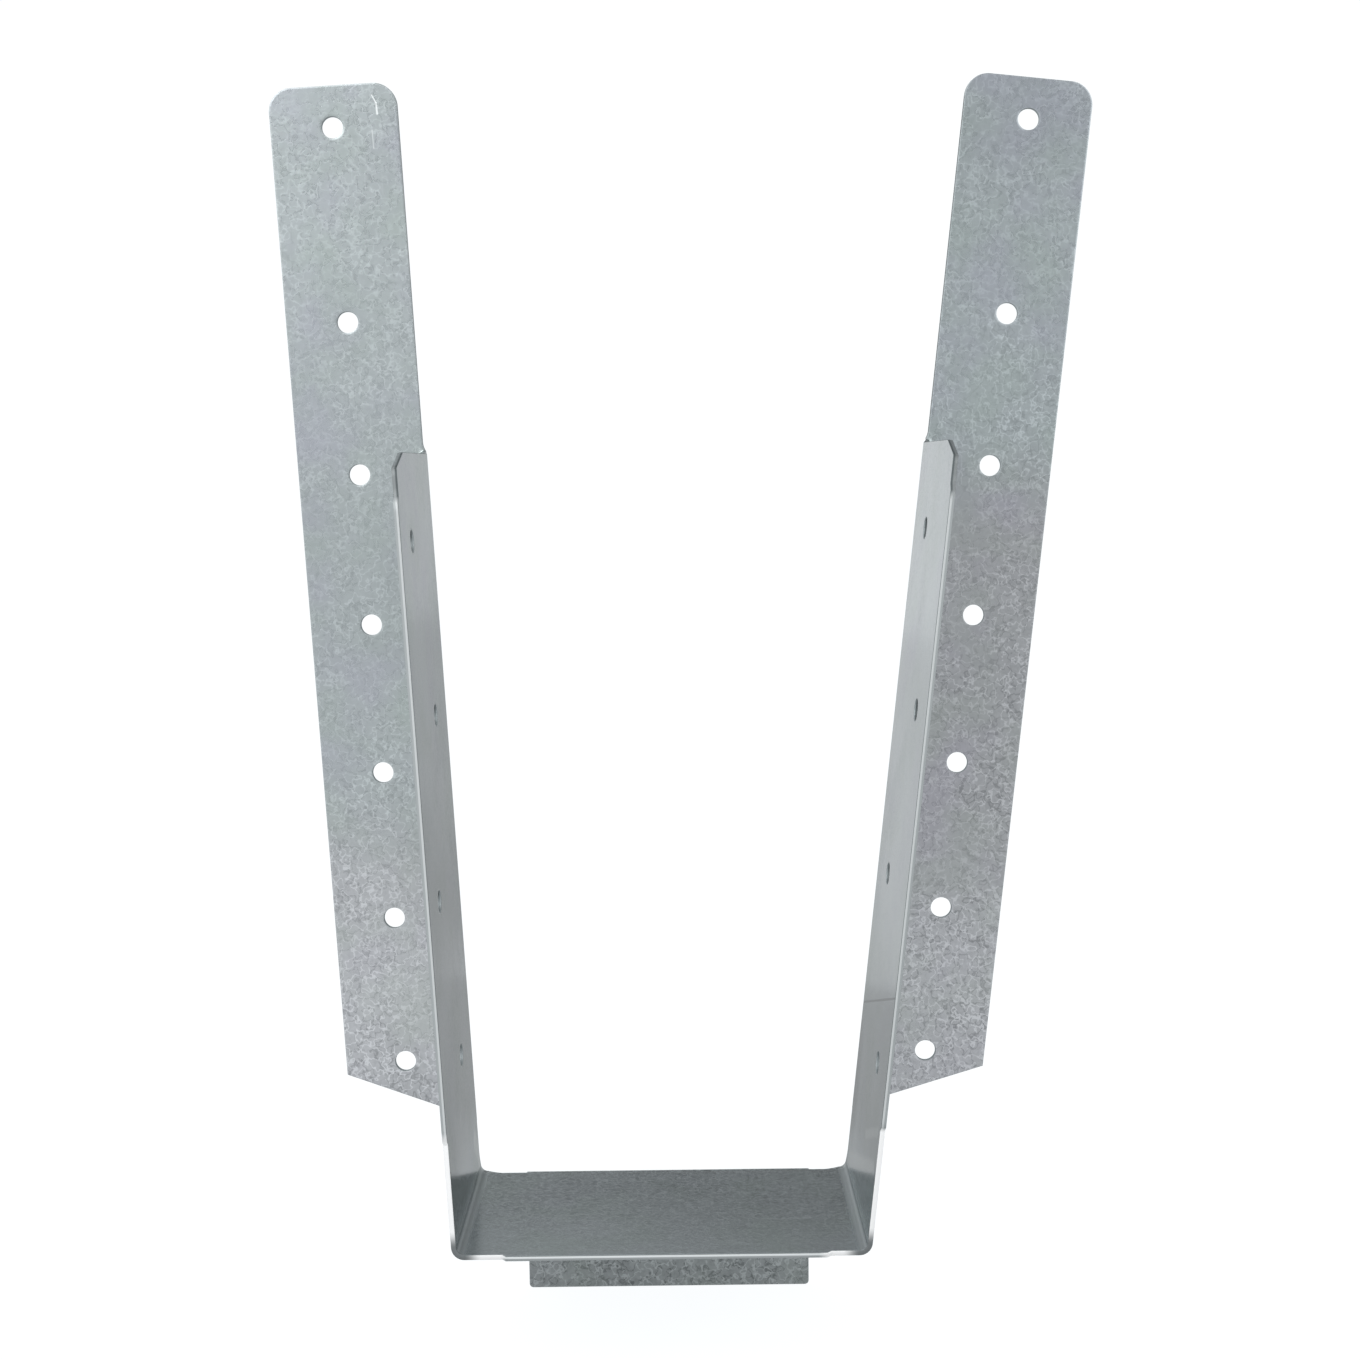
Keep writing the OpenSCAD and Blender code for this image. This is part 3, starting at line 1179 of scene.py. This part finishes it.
@dataclass(frozen=True)
class SheetReading:
    """What the sheet's material reads at each point.

    Args:
        n: Helper of the material's tree.
        place: The point, in metres.
        up: Its height.
        right: From 0 at the left half to 1 at the right half.
        spangle: Outputs of the zinc's crystals.
        marks: Outputs of the marks of handling.
        edge: Outputs of the cut edges.
        plate: 1 on the side plates.
        strap: 1 on the straps.
    """

    n: Nodes
    place: Socket
    up: Socket
    right: Socket
    spangle: dict[str, Socket]
    marks: dict[str, Socket]
    edge: dict[str, Socket]
    plate: Socket
    strap: Socket


@dataclass(frozen=True)
class GalvanisedFinish:
    """Dull zinc with a fine spangle, with painted reflection and painted shade in its colour.

    Args:
        dark: Colour of the darkest crystals.
        pale: Colour of the lightest crystals.
        lilac: Colour that the cooler clouds lean to.
        green: Colour that the warmer clouds lean to.
        warmth: What the colour is multiplied by low on the straps.
        coolness: What it is multiplied by high on the straps, on the side plates and on the seat.
        crystal: Width of a crystal, in metres.
        warp: Scale and detail of what bends the crystals, and how far it bends them.
        cell_scale: Scale of the crystals' cells.
        grain: Scale and detail of the grain in them.
        grain_ramp: Its contrast.
        grain_share: Share of the grain in a crystal's tone.
        flatness: Share of one even tone in it, and that tone.
        speck: How bright a speck is, from its middle outwards.
        speck_from: Tone above which a crystal has one.
        veins: Scale, shift and tone of the light and of the dark veins.
        vein_edge: How far a vein reaches, in the noise that draws it.
        streaks: Turn and squeeze of the rubbed streaks each way.
        streak_ramp: How the streaks come out of their noise.
        clouds: Scale and shift of each kind of cloud.
        cloud_detail: Detail of their noise.
        cloud_ramp: How they come out of it.
        halves: Where the left half passes into the right.
        strap_rise: Height from which a strap counts as one.
        plate_calm: Calmness from which a flat counts as a side plate, and at which it is the seat.
        crystal_shift: How far the left and the right crystals' fading starts above the seat.
        contrast: Contrast of the crystals at the foot and at the top.
        contrast_end: Height at which it no longer changes.
        calmed: Share of the contrast that the seat lacks.
        middle: Tone of the zinc between dark and pale.
        amounts: What smudges, streaks, rubbed edges and the side plates add to the tone.
        lilac_share: Strength of the lilac clouds over the height.
        green_share: Strength of the green ones.
        warm_foot: How strongly the straps' foot is warm, over the height.
        warm_lift: How much higher the right strap's warm foot reaches.
        cool_sides: How cool the left and the right strap are above it.
        strap_fades: What lightens or darkens the straps, over the height, as painted reflection.
        warm_fade: How much darker the right strap's warm foot is, as painted shade.
        left_fade: What lightens or darkens the left side plate, over the height, as painted reflection.
        right_fade: The same on the right.
        foot_fade: What lightens the foot of both, as painted reflection.
        roughness: Least and most roughness over the crystals.
        rough_ends: Tones of the crystals that have it.
        smudge_rough: What a smudge adds to it.
        calm_smooth: What the side plates' and the seat's lacks.
        bent_rough: Roughness in the seat folds.
        bent_dark: How dark the seat folds are, as painted shade.
        cut_rough: Roughness of the cut edges.
        calm_relief: Share of the relief that the seat lacks.
        bump: Strength of the relief, and its height in metres.
        edge: Finish of the cut edges.
    """

    dark: Colour = (0.228, 0.248, 0.252, 1)
    pale: Colour = (0.556, 0.598, 0.605, 1)
    lilac: Colour = (0.405, 0.410, 0.465, 1)
    green: Colour = (0.375, 0.430, 0.400, 1)
    warmth: Colour = (1.01, 0.962, 0.985, 1)
    coolness: Colour = (0.98, 1.0, 1.015, 1)
    crystal: float = 0.0011
    warp: Point3 = (0.8, 2.0, 1.1)
    cell_scale: float = 0.42
    grain: Point2 = (1.3, 2.0)
    grain_ramp: Ramp = (0.28, 0.72, (0.0, 1.0))
    grain_share: float = 0.6
    flatness: Point2 = (0.70, 0.48)
    speck: Ramp = (0.08, 0.22, (0.45, 0.0))
    speck_from: float = 0.68
    veins: tuple[tuple[float, Point3, float], ...] = ((0.56, (0, 0, 0), 0.70), (0.48, (7.3, 2.1, 5.9), -0.42))
    vein_edge: float = 0.050
    streaks: tuple[tuple[Point3, Point3], ...] = (
        ((0, 0.35, 0), (90, 260, 2600)), ((0, -0.9, 0), (2400, 240, 110)))
    streak_ramp: Ramp = (0.66, 0.78, (0.0, 1.0))
    clouds: tuple[tuple[str, float, float], ...] = (
        ("Smudge", 34.0, 3.1), ("Lilac", 52.0, 8.4), ("Green", 60.0, 15.7))
    cloud_detail: float = 3.0
    cloud_ramp: Ramp = (0.42, 0.70, (0.0, 1.0))
    halves: Ramp = (-0.03, 0.03, (0.0, 1.0))
    strap_rise: Ramp = (-0.005, 0.01, (0.0, 1.0))
    plate_calm: Point2 = (0.5, 0.9)
    crystal_shift: Point2 = (-0.018, 0.035)
    contrast: Point2 = (1.02, 0.36)
    contrast_end: float = 0.20
    calmed: float = 0.91
    middle: float = 0.56
    amounts: tuple[float, ...] = (-0.05, 0.10, 0.14, 0.20)
    lilac_share: Ramp = (0.03, 0.14, (0.15, 0.55))
    green_share: float = 0.45
    warm_foot: Ramp = (0.070, 0.100, (1.0, 0.0))
    warm_lift: float = 0.083
    cool_sides: Point2 = (0.4, 1.0)
    strap_fades: tuple[Ramp, ...] = (
        (0.04, 0.10, (0.17, 0.0)), (0.225, 0.25, (0.0, -0.07)), (0.165, 0.19, (0.0, 0.045)))
    warm_fade: float = 0.05
    left_fade: Ramp = (0.06, 0.15, (-0.19, 0.12))
    right_fade: Ramp = (0.03, 0.10, (-0.13, -0.06))
    foot_fade: Ramp = (0.008, 0.022, (0.34, 0.0))
    roughness: Point2 = (0.24, 0.34)
    rough_ends: Point2 = (0.1, 0.9)
    smudge_rough: float = 0.05
    calm_smooth: float = 0.12
    bent_rough: float = 0.36
    bent_dark: float = 0.3
    cut_rough: float = 0.58
    calm_relief: float = 0.5
    bump: Point2 = (0.08, 0.0002)
    edge: CutEdgeFinish = CutEdgeFinish()

    def spangle_group(self) -> bpy.types.NodeTree:
        """Crystals of the zinc.

        Returns:
            A group that puts out how pale each crystal is, and its height.
        """
        n = Nodes.group("zinc_spangle", "Shader", {"Vector": "Vector", "Crystal": "Float"},
                        {"Tone": "Float", "Height": "Float"})
        given = n.given()
        place = n.vector("DIVIDE", given["Vector"], given["Crystal"])
        scale, detail, reach = self.warp
        warp = n.vector("SUBTRACT", n.noise(place, scale, detail, "Color"), (0.5, 0.5, 0.5))
        bent = n.vector("ADD", place, n.scale(warp, reach))
        cell = n.add("ShaderNodeTexVoronoi", {"Vector": bent, "Scale": self.cell_scale})
        each = n.add("ShaderNodeSeparateColor", {"Color": cell.outputs["Color"]}).outputs[0]
        grain = n.ease(n.noise(bent, *self.grain), *self.grain_ramp)
        flat, even = self.flatness
        tone = n.mix(flat, n.mix(self.grain_share, each, grain), even)
        speck = n.ease(cell.outputs["Distance"], *self.speck)
        tone = n.plus(tone, n.times(speck, n.math("GREATER_THAN", each, self.speck_from)))
        for scale, shift, gain in self.veins:
            wave = n.less(n.noise(n.vector("ADD", bent, shift), scale, 1.0), 0.5)
            tone = n.plus(tone, n.ease(n.math("ABSOLUTE", wave), 0.0, self.vein_edge, (gain, 0.0)))
        n.add("NodeGroupOutput", {"Tone": tone, "Height": n.mix(0.5, cell.outputs["Distance"], tone)})
        return n.tree

    def handling_group(self) -> bpy.types.NodeTree:
        """Marks of handling and the zinc's clouds.

        Returns:
            A group that puts out masks for rubbed streaks, smudges and two tints.
        """
        names = ("Streak", "Smudge", "Lilac", "Green")
        n = Nodes.group("handling_marks", "Shader", {"Vector": "Vector"}, dict.fromkeys(names, "Float"))
        place = n.given()[0]
        masks: dict[str, Feed] = {"Streak": 0.0}
        for turn, squeeze in self.streaks:
            bent = n.add("ShaderNodeMapping", {"Vector": place, "Rotation": turn, "Scale": squeeze})
            line = n.ease(n.noise(bent, 1.0, 1.0), *self.streak_ramp)
            masks["Streak"] = n.math("MAXIMUM", masks["Streak"], line)
        for name, scale, shift in self.clouds:
            moved = n.vector("ADD", place, (shift, shift, shift))
            masks[name] = n.ease(n.noise(moved, scale, self.cloud_detail), *self.cloud_ramp)
        n.add("NodeGroupOutput", masks)
        return n.tree

    def scratch_group(self) -> bpy.types.NodeTree:
        """One straight mark.

        Returns:
            A group that puts out its mask, with soft sides and ends.
        """
        inputs = {**dict.fromkeys(("Vector", "From", "To"), "Vector"), "Width": "Float"}
        n = Nodes.group("scratch", "Shader", inputs, {"Mask": "Float"})
        given = n.given()
        run = n.vector("SUBTRACT", given["To"], given["From"])
        local = n.vector("SUBTRACT", given["Vector"], given["From"])
        share = n.math("DIVIDE", n.dot(local, run), n.dot(run, run), clamp=True)
        off = n.vector("SUBTRACT", local, n.scale(run, share))
        away = n.add("ShaderNodeVectorMath", {0: off}, operation="LENGTH").outputs["Value"]
        mask = n.ease(n.math("DIVIDE", away, given["Width"]), 0.3, 1.0, (1.0, 0.0))
        n.add("NodeGroupOutput", {"Mask": mask})
        return n.tree

    def reading(self, n: Nodes) -> SheetReading:
        """Reads the point, the patterns and the attributes.

        Args:
            n: Helper of the material's tree.

        Returns:
            What the rest of the material works with.
        """
        place = n.add("ShaderNodeTexCoord").outputs["Object"]
        across, _, up = n.split(place)
        spangle = n.use(self.spangle_group(), Vector=place, Crystal=self.crystal)
        marks = n.use(self.handling_group(), Vector=place)
        edge = n.use(self.edge.group(), Vector=place)
        calm = edge["Calm"]
        low, high = self.plate_calm
        plate = n.less(n.ease(calm, low, PLATE_CALM), n.ease(calm, PLATE_CALM, high))
        strap = n.times(n.ease(calm, 0.0, PLATE_CALM, (1.0, 0.0)), n.ease(up, *self.strap_rise))
        return SheetReading(n, place, up, n.ease(across, *self.halves), spangle, marks, edge, plate, strap)

    def zinc(self, r: SheetReading) -> Socket:
        """Colour of the crystals, with the marks of handling and the clouds.

        Args:
            r: What the material reads.

        Returns:
            The colour.
        """
        n = r.n
        height = n.less(r.up, n.ease(r.right, 0.0, 1.0, self.crystal_shift))
        show = n.ease(height, 0.0, self.contrast_end, self.contrast)
        show = n.times(show, n.less(1.0, n.times(r.edge["Calm"], self.calmed)))
        tone = n.times(n.less(r.spangle["Tone"], 0.5), show)
        masks = (r.marks["Smudge"], r.marks["Streak"], r.edge["Wear"], r.plate)
        for mask, amount in zip(masks, self.amounts):
            tone = n.plus(tone, n.times(mask, amount))
        colour = n.blend(n.math("ADD", tone, self.middle, clamp=True), self.dark, self.pale)
        lilac = n.times(r.marks["Lilac"], n.ease(r.up, *self.lilac_share))
        colour = n.blend(lilac, colour, self.lilac)
        return n.blend(n.times(r.marks["Green"], self.green_share), colour, self.green)

    def toned(self, r: SheetReading, colour: Socket) -> Socket:
        """Tints the zinc by where it lies on the hanger, and lightens or darkens it by height as painted
        reflection.

        Args:
            r: What the material reads.
            colour: Colour of the zinc.

        Returns:
            The colour, warmer low on the straps and cooler above, lighter or darker by height as painted
            reflection.
        """
        n, up, right, strap = r.n, r.up, r.right, r.strap
        warm = n.ease(n.less(up, n.times(right, self.warm_lift)), *self.warm_foot)
        warm = n.times(warm, strap)
        colour = n.blend(warm, colour, self.warmth, "MULTIPLY")
        cool = n.times(n.less(strap, warm), n.ease(right, 0.0, 1.0, self.cool_sides))
        cool = n.plus(cool, n.ease(r.edge["Calm"], 0.0, PLATE_CALM))
        colour = n.blend(cool, colour, self.coolness, "MULTIPLY")
        # Painted reflection: the straps and the side plates lighter or darker by height.
        painted_fade = n.plus(*(n.ease(up, *ramp) for ramp in self.strap_fades))
        painted_fade = n.less(painted_fade, n.times(warm, right, self.warm_fade))
        inside = n.mix(right, n.ease(up, *self.left_fade), n.ease(up, *self.right_fade))
        inside = n.plus(inside, n.ease(up, *self.foot_fade))
        painted_fade = n.plus(n.times(painted_fade, strap), n.times(inside, r.plate))
        return n.blend(1.0, colour, n.plus(painted_fade, 1.0), "MULTIPLY")

    def marked(self, r: SheetReading, colour: Socket) -> Socket:
        """Lays the scratches and the painted reflection marks, the folds' painted shade and the cut edges
        over the zinc.

        Args:
            r: What the material reads.
            colour: Colour of the zinc.

        Returns:
            The sheet's colour.
        """
        n, scratch = r.n, self.scratch_group()
        # Scratches, and painted reflections on the side plates.
        for mark in MARKS:
            cover = n.use(scratch, Vector=r.place, From=mark.start, To=mark.end, Width=mark.width)["Mask"]
            colour = n.blend(n.times(cover, mark.strength), colour, mark.colour)
        # Painted shade on the seat folds.
        colour = n.blend(n.times(r.edge["Bent"], self.bent_dark), colour, self.dark)
        return n.blend(r.edge["Cover"], colour, r.edge["Colour"])

    def rough(self, r: SheetReading) -> Socket:
        """Roughness over the crystals, smoother on the seat and the side plates.

        Args:
            r: What the material reads.

        Returns:
            The roughness.
        """
        n = r.n
        rough = n.ease(r.spangle["Tone"], *self.rough_ends, self.roughness)
        rough = n.plus(rough, n.times(r.marks["Smudge"], self.smudge_rough))
        rough = n.less(rough, n.ease(r.edge["Calm"], 0.0, PLATE_CALM, (0.0, self.calm_smooth)))
        rough = n.mix(r.edge["Bent"], rough, self.bent_rough)
        return n.mix(r.edge["Cover"], rough, self.cut_rough)

    def material(self, name: str) -> bpy.types.Material:
        """Builds the sheet's material.

        Args:
            name: Its name.

        Returns:
            The material, with colour, roughness and relief from its nodes.
        """
        made = bpy.data.materials.new(name)
        n = Nodes.emptied(made)
        r = self.reading(n)
        colour = self.marked(r, self.toned(r, self.zinc(r)))
        relief = n.times(r.spangle["Height"], n.less(1.0, n.times(r.edge["Calm"], self.calm_relief)))
        strength, height = self.bump
        bump = n.add("ShaderNodeBump", {"Height": relief, "Strength": strength, "Distance": height})
        body = n.add("ShaderNodeBsdfPrincipled", {
            "Base Color": colour, "Roughness": self.rough(r), "Normal": bump, "Metallic": 1.0})
        n.add("ShaderNodeOutputMaterial", {"Surface": body})
        return made


@dataclass
class Hanger:
    """The folded sheet as it is seen.

    Args:
        sizes: Its sizes.
        finish: Its finish.
    """

    sizes: SheetSizes
    finish: GalvanisedFinish

    def build(self) -> bpy.types.Object:
        """Cuts the blank and folds it.

        Returns:
            The finished piece.
        """
        s = self.sizes
        blank = FlatBlank(s)
        spots = bpy.data.meshes.new("hole_centres")
        spots.from_pydata([(x, y, 0) for x, y in BlankOutline(s).holes()], [], [])
        piece, rim, centres = (in_scene(mesh) for mesh in (blank.mesh(), blank.hole_rim(), spots))
        folds = piece.modifiers.new("folds", "NODES")
        folds.node_group = PressBrake(s).folding(self.finish.material("galvanised_sheet"))
        values = {"Hole Rim": rim, "Hole Centres": centres, "Thickness": s.thickness,
                  "Fold Radius": s.fold_r, "Neutral Radius": s.neutral_r,
                  "Lean Left": s.leans[Side.LEFT], "Lean Right": s.leans[Side.RIGHT]}
        for socket in folds.node_group.interface.items_tree:
            if socket.name in values:
                folds[socket.identifier] = values[socket.name]
        made = bpy.data.meshes.new_from_object(piece.evaluated_get(bpy.context.evaluated_depsgraph_get()))
        piece.modifiers.clear()
        piece.data = made
        piece.name = made.name = "folded_sheet"
        for spare in (rim, centres):
            bpy.data.objects.remove(spare)
        return piece


@dataclass(frozen=True)
class Lamp:
    """A square soft lamp that faces the object.

    Args:
        name: Its name.
        place: Where it hangs, in metres.
        size: Length of its side.
        power: Its power, in watts.
        aim: What it faces.
    """

    name: str
    place: Point3
    size: float
    power: float
    aim: Point3 = (0, 0, 0.11)

    def hang(self) -> None:
        """Adds the lamp to the scene."""
        light = bpy.data.lights.new(self.name, "AREA")
        light.shape, light.size, light.energy = "SQUARE", self.size, self.power
        made = bpy.data.objects.new(self.name, light)
        made.location = self.place
        made.rotation_euler = (Vector(self.aim) - Vector(self.place)).to_track_quat("-Z", "Y").to_euler()
        bpy.context.scene.collection.objects.link(made)


@dataclass(frozen=True)
class Viewpoint:
    """Where the photograph was taken from.

    Args:
        place: Place of the camera, in metres.
        turns: Its yaw, pitch and roll, in degrees.
        focal: Its focal length, in pixels of the photograph.
        frame: Width of the photograph, in pixels.
        sensor: Width of the sensor, in millimetres.
    """

    place: Point3 = (0.004766, -0.422484, 0.161219)
    turns: Point3 = (0.103, 5.363, -0.659)
    focal: float = 1750
    frame: float = 1360
    sensor: float = 36.0

    def camera(self) -> None:
        """Adds the camera to the scene."""
        data = bpy.data.cameras.new("camera")
        data.sensor_width, data.lens = self.sensor, self.focal / self.frame * self.sensor
        data.clip_start = 0.01
        made = bpy.data.objects.new("camera", data)
        yaw, pitch, roll = (math.radians(v) for v in self.turns)
        ahead = Vector((math.sin(yaw) * math.cos(pitch), math.cos(yaw) * math.cos(pitch), -math.sin(pitch)))
        right = Vector((math.cos(yaw), -math.sin(yaw), 0))
        up = right.cross(ahead)
        tilted = right * math.cos(roll) + up * math.sin(roll)
        turn = Matrix((tilted, up * math.cos(roll) - right * math.sin(roll), -ahead)).transposed()
        made.matrix_world = Matrix.Translation(self.place) @ turn.to_4x4()
        bpy.context.scene.collection.objects.link(made)
        bpy.context.scene.camera = made


@dataclass
class Studio:
    """Floor, soft light and camera.

    Args:
        floor_z: Height of the floor, in metres.
        reach: How far the floor goes each way.
        pale: Colour of the floor.
        level: Strength of the room's light on what isn't metal.
        paper: How bright the metal sees the paper.
        right_fall: How much dimmer it sees the paper, from left to right.
        bench: How bright the metal sees the bench just behind the object.
        bench_front: The same at the bench's front, on the left and on the right.
        bench_span: Where the bench starts and ends behind the header's face.
        past_left: How bright the metal sees the floor past the bench on the left.
        past_right: The same on the right, nearer and further away.
        under: How bright the metal sees the paper under the seat: a painted shadow of the seat.
        under_from: From where on it counts as under the seat.
        sides: Where the bench's left passes into its right.
        bench_back: Where its front passes into its back.
        past_depth: Where the nearer floor past it passes into the further.
        glow_shares: Share of the floor's own glow that metal and the camera see.
        whites: Strengths at which the camera sees the floor and the room as white.
        ahead: How bright the room is in front of the object, level and overhead.
        behind: How bright it is behind the object, at the horizon and above it.
        overhead: How much brighter it is again overhead.
        depth: Where the front half of the room passes into the back half.
        right_shade: How much darker its right is, in front and behind.
        shade_turn: Where the left passes into the right.
        daylight: Colour of the room's light, a little cool.
        lamps: The lamps.
        viewpoint: The camera's place.
    """

    floor_z: float = -0.0305
    reach: float = 4.0
    pale: Colour = (0.85, 0.85, 0.85, 1)
    level: float = 0.85
    paper: float = 0.98
    right_fall: Ramp = (-0.16, 0.16, (0.0, 0.22))
    bench: float = 0.325
    bench_front: Point2 = (0.36, 0.30)
    bench_span: Point2 = (0.03, 0.312)
    past_left: float = 0.66
    past_right: Point2 = (0.26, 0.37)
    under: float = 0.48
    under_from: Point2 = (-0.11, -0.06)
    sides: Point2 = (-0.04, 0.04)
    bench_back: Point2 = (0.12, 0.145)
    past_depth: Point2 = (0.40, 0.90)
    glow_shares: Point2 = (0.75, 0.88)
    whites: Point2 = (1.10, 1.05)
    ahead: Ramp = (0.35, 0.75, (0.95, 0.55))
    behind: Ramp = (0.14, 0.28, (0.83, 0.22))
    overhead: Ramp = (0.35, 0.45, (0.0, 0.54))
    depth: Point2 = (-0.3, 0.3)
    right_shade: Point2 = (0.24, 0.34)
    shade_turn: Point2 = (-0.15, 0.17)
    daylight: Colour = (0.965, 0.985, 1.0, 1)
    lamps: tuple[Lamp, ...] = (
        Lamp("key", (-0.9, -1.3, 1.3), 1.2, 12),
        Lamp("fill", (1.2, -1.1, 0.9), 1.2, 6),
    )
    viewpoint: Viewpoint = Viewpoint()

    @staticmethod
    def rays(n: Nodes) -> tuple[Socket, Socket]:
        """Tells apart what the camera sees and what metal or glass shows.

        Args:
            n: Helper of the tree.

        Returns:
            1 for the camera's own rays, and 1 for mirrored rays.
        """
        path = n.add("ShaderNodeLightPath").outputs
        return path["Is Camera Ray"], n.math("MAXIMUM", path["Is Glossy Ray"], path["Is Transmission Ray"])

    def floor(self) -> bpy.types.Object:
        """Builds the pale floor: a sheet of paper on a greyer bench, white to the camera, with a painted
        shadow under the seat in what the metal sees.

        Returns:
            The floor.
        """
        r, material = self.reach, bpy.data.materials.new("pale_floor")
        corners = [(x, y, self.floor_z) for x, y in ((-r, -r), (r, -r), (r, r), (-r, r))]
        made = in_scene(marked_mesh("floor", corners, [[0, 1, 2, 3]], {}))
        n = Nodes.emptied(material)
        camera, metal = self.rays(n)
        across, far, _ = n.split(n.add("ShaderNodeTexCoord").outputs["Object"])
        front = n.less(self.paper, n.ease(across, *self.right_fall))
        # Painted shadow of the seat on the paper's glow.
        front = n.mix(n.ease(far, *self.under_from), front, self.under)
        start, end = self.bench_span
        side = n.ease(across, *self.sides)
        past = n.mix(side, self.past_left, n.ease(far, *self.past_depth, self.past_right))
        bench = n.mix(n.ease(far, *self.bench_back), n.mix(side, *self.bench_front), self.bench)
        back = n.mix(n.math("LESS_THAN", far, end), past, bench)
        shown = n.mix(n.math("GREATER_THAN", far, start), front, back)
        shown = n.mix(camera, shown, self.whites[0])
        seen = n.mix(camera, n.times(metal, self.glow_shares[0]), self.glow_shares[1])
        matt = n.add("ShaderNodeBsdfDiffuse", {"Color": self.pale})
        glow = n.add("ShaderNodeEmission", {"Color": self.daylight, "Strength": shown})
        mixed = n.add("ShaderNodeMixShader", {0: seen, 1: matt, 2: glow})
        n.add("ShaderNodeOutputMaterial", {"Surface": mixed})
        made.data.materials.append(material)
        return made

    def world(self) -> None:
        """Lights the room: white round the horizon, darker overhead, behind and to the right."""
        world = bpy.data.worlds.new("studio")
        bpy.context.scene.world = world
        n = Nodes.emptied(world)
        across, far, up = n.split(n.add("ShaderNodeTexCoord").outputs["Generated"])
        back_half = n.ease(far, *self.depth)
        ahead = n.ease(up, *self.ahead)
        ceiling = n.plus(n.ease(up, *self.behind), n.ease(up, *self.overhead))
        shade = n.times(n.mix(back_half, *self.right_shade), n.ease(across, *self.shade_turn))
        room = n.times(n.mix(back_half, ahead, ceiling), n.less(1.0, shade))
        camera, metal = self.rays(n)
        seen = n.mix(camera, n.mix(metal, self.level, room), self.whites[1])
        back = n.add("ShaderNodeBackground", {"Color": self.daylight, "Strength": seen})
        n.add("ShaderNodeOutputWorld", {"Surface": back})

    def build(self) -> bpy.types.Object:
        """Builds the whole studio.

        Returns:
            Its floor.
        """
        self.world()
        for lamp in self.lamps:
            lamp.hang()
        self.viewpoint.camera()
        bpy.context.scene.view_settings.view_transform = "Standard"
        return self.floor()


def main() -> None:
    """Builds the dressed hanger in its studio."""
    logging.basicConfig(level=logging.INFO, format="%(name)s: %(message)s")
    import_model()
    piece = Hanger(SheetSizes(), GalvanisedFinish()).build()
    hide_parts("hanger")
    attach(piece, "root")
    LOG.info("folded sheet: %d faces", len(piece.data.polygons))
    Studio().build()


if __name__ == "__main__":
    main()
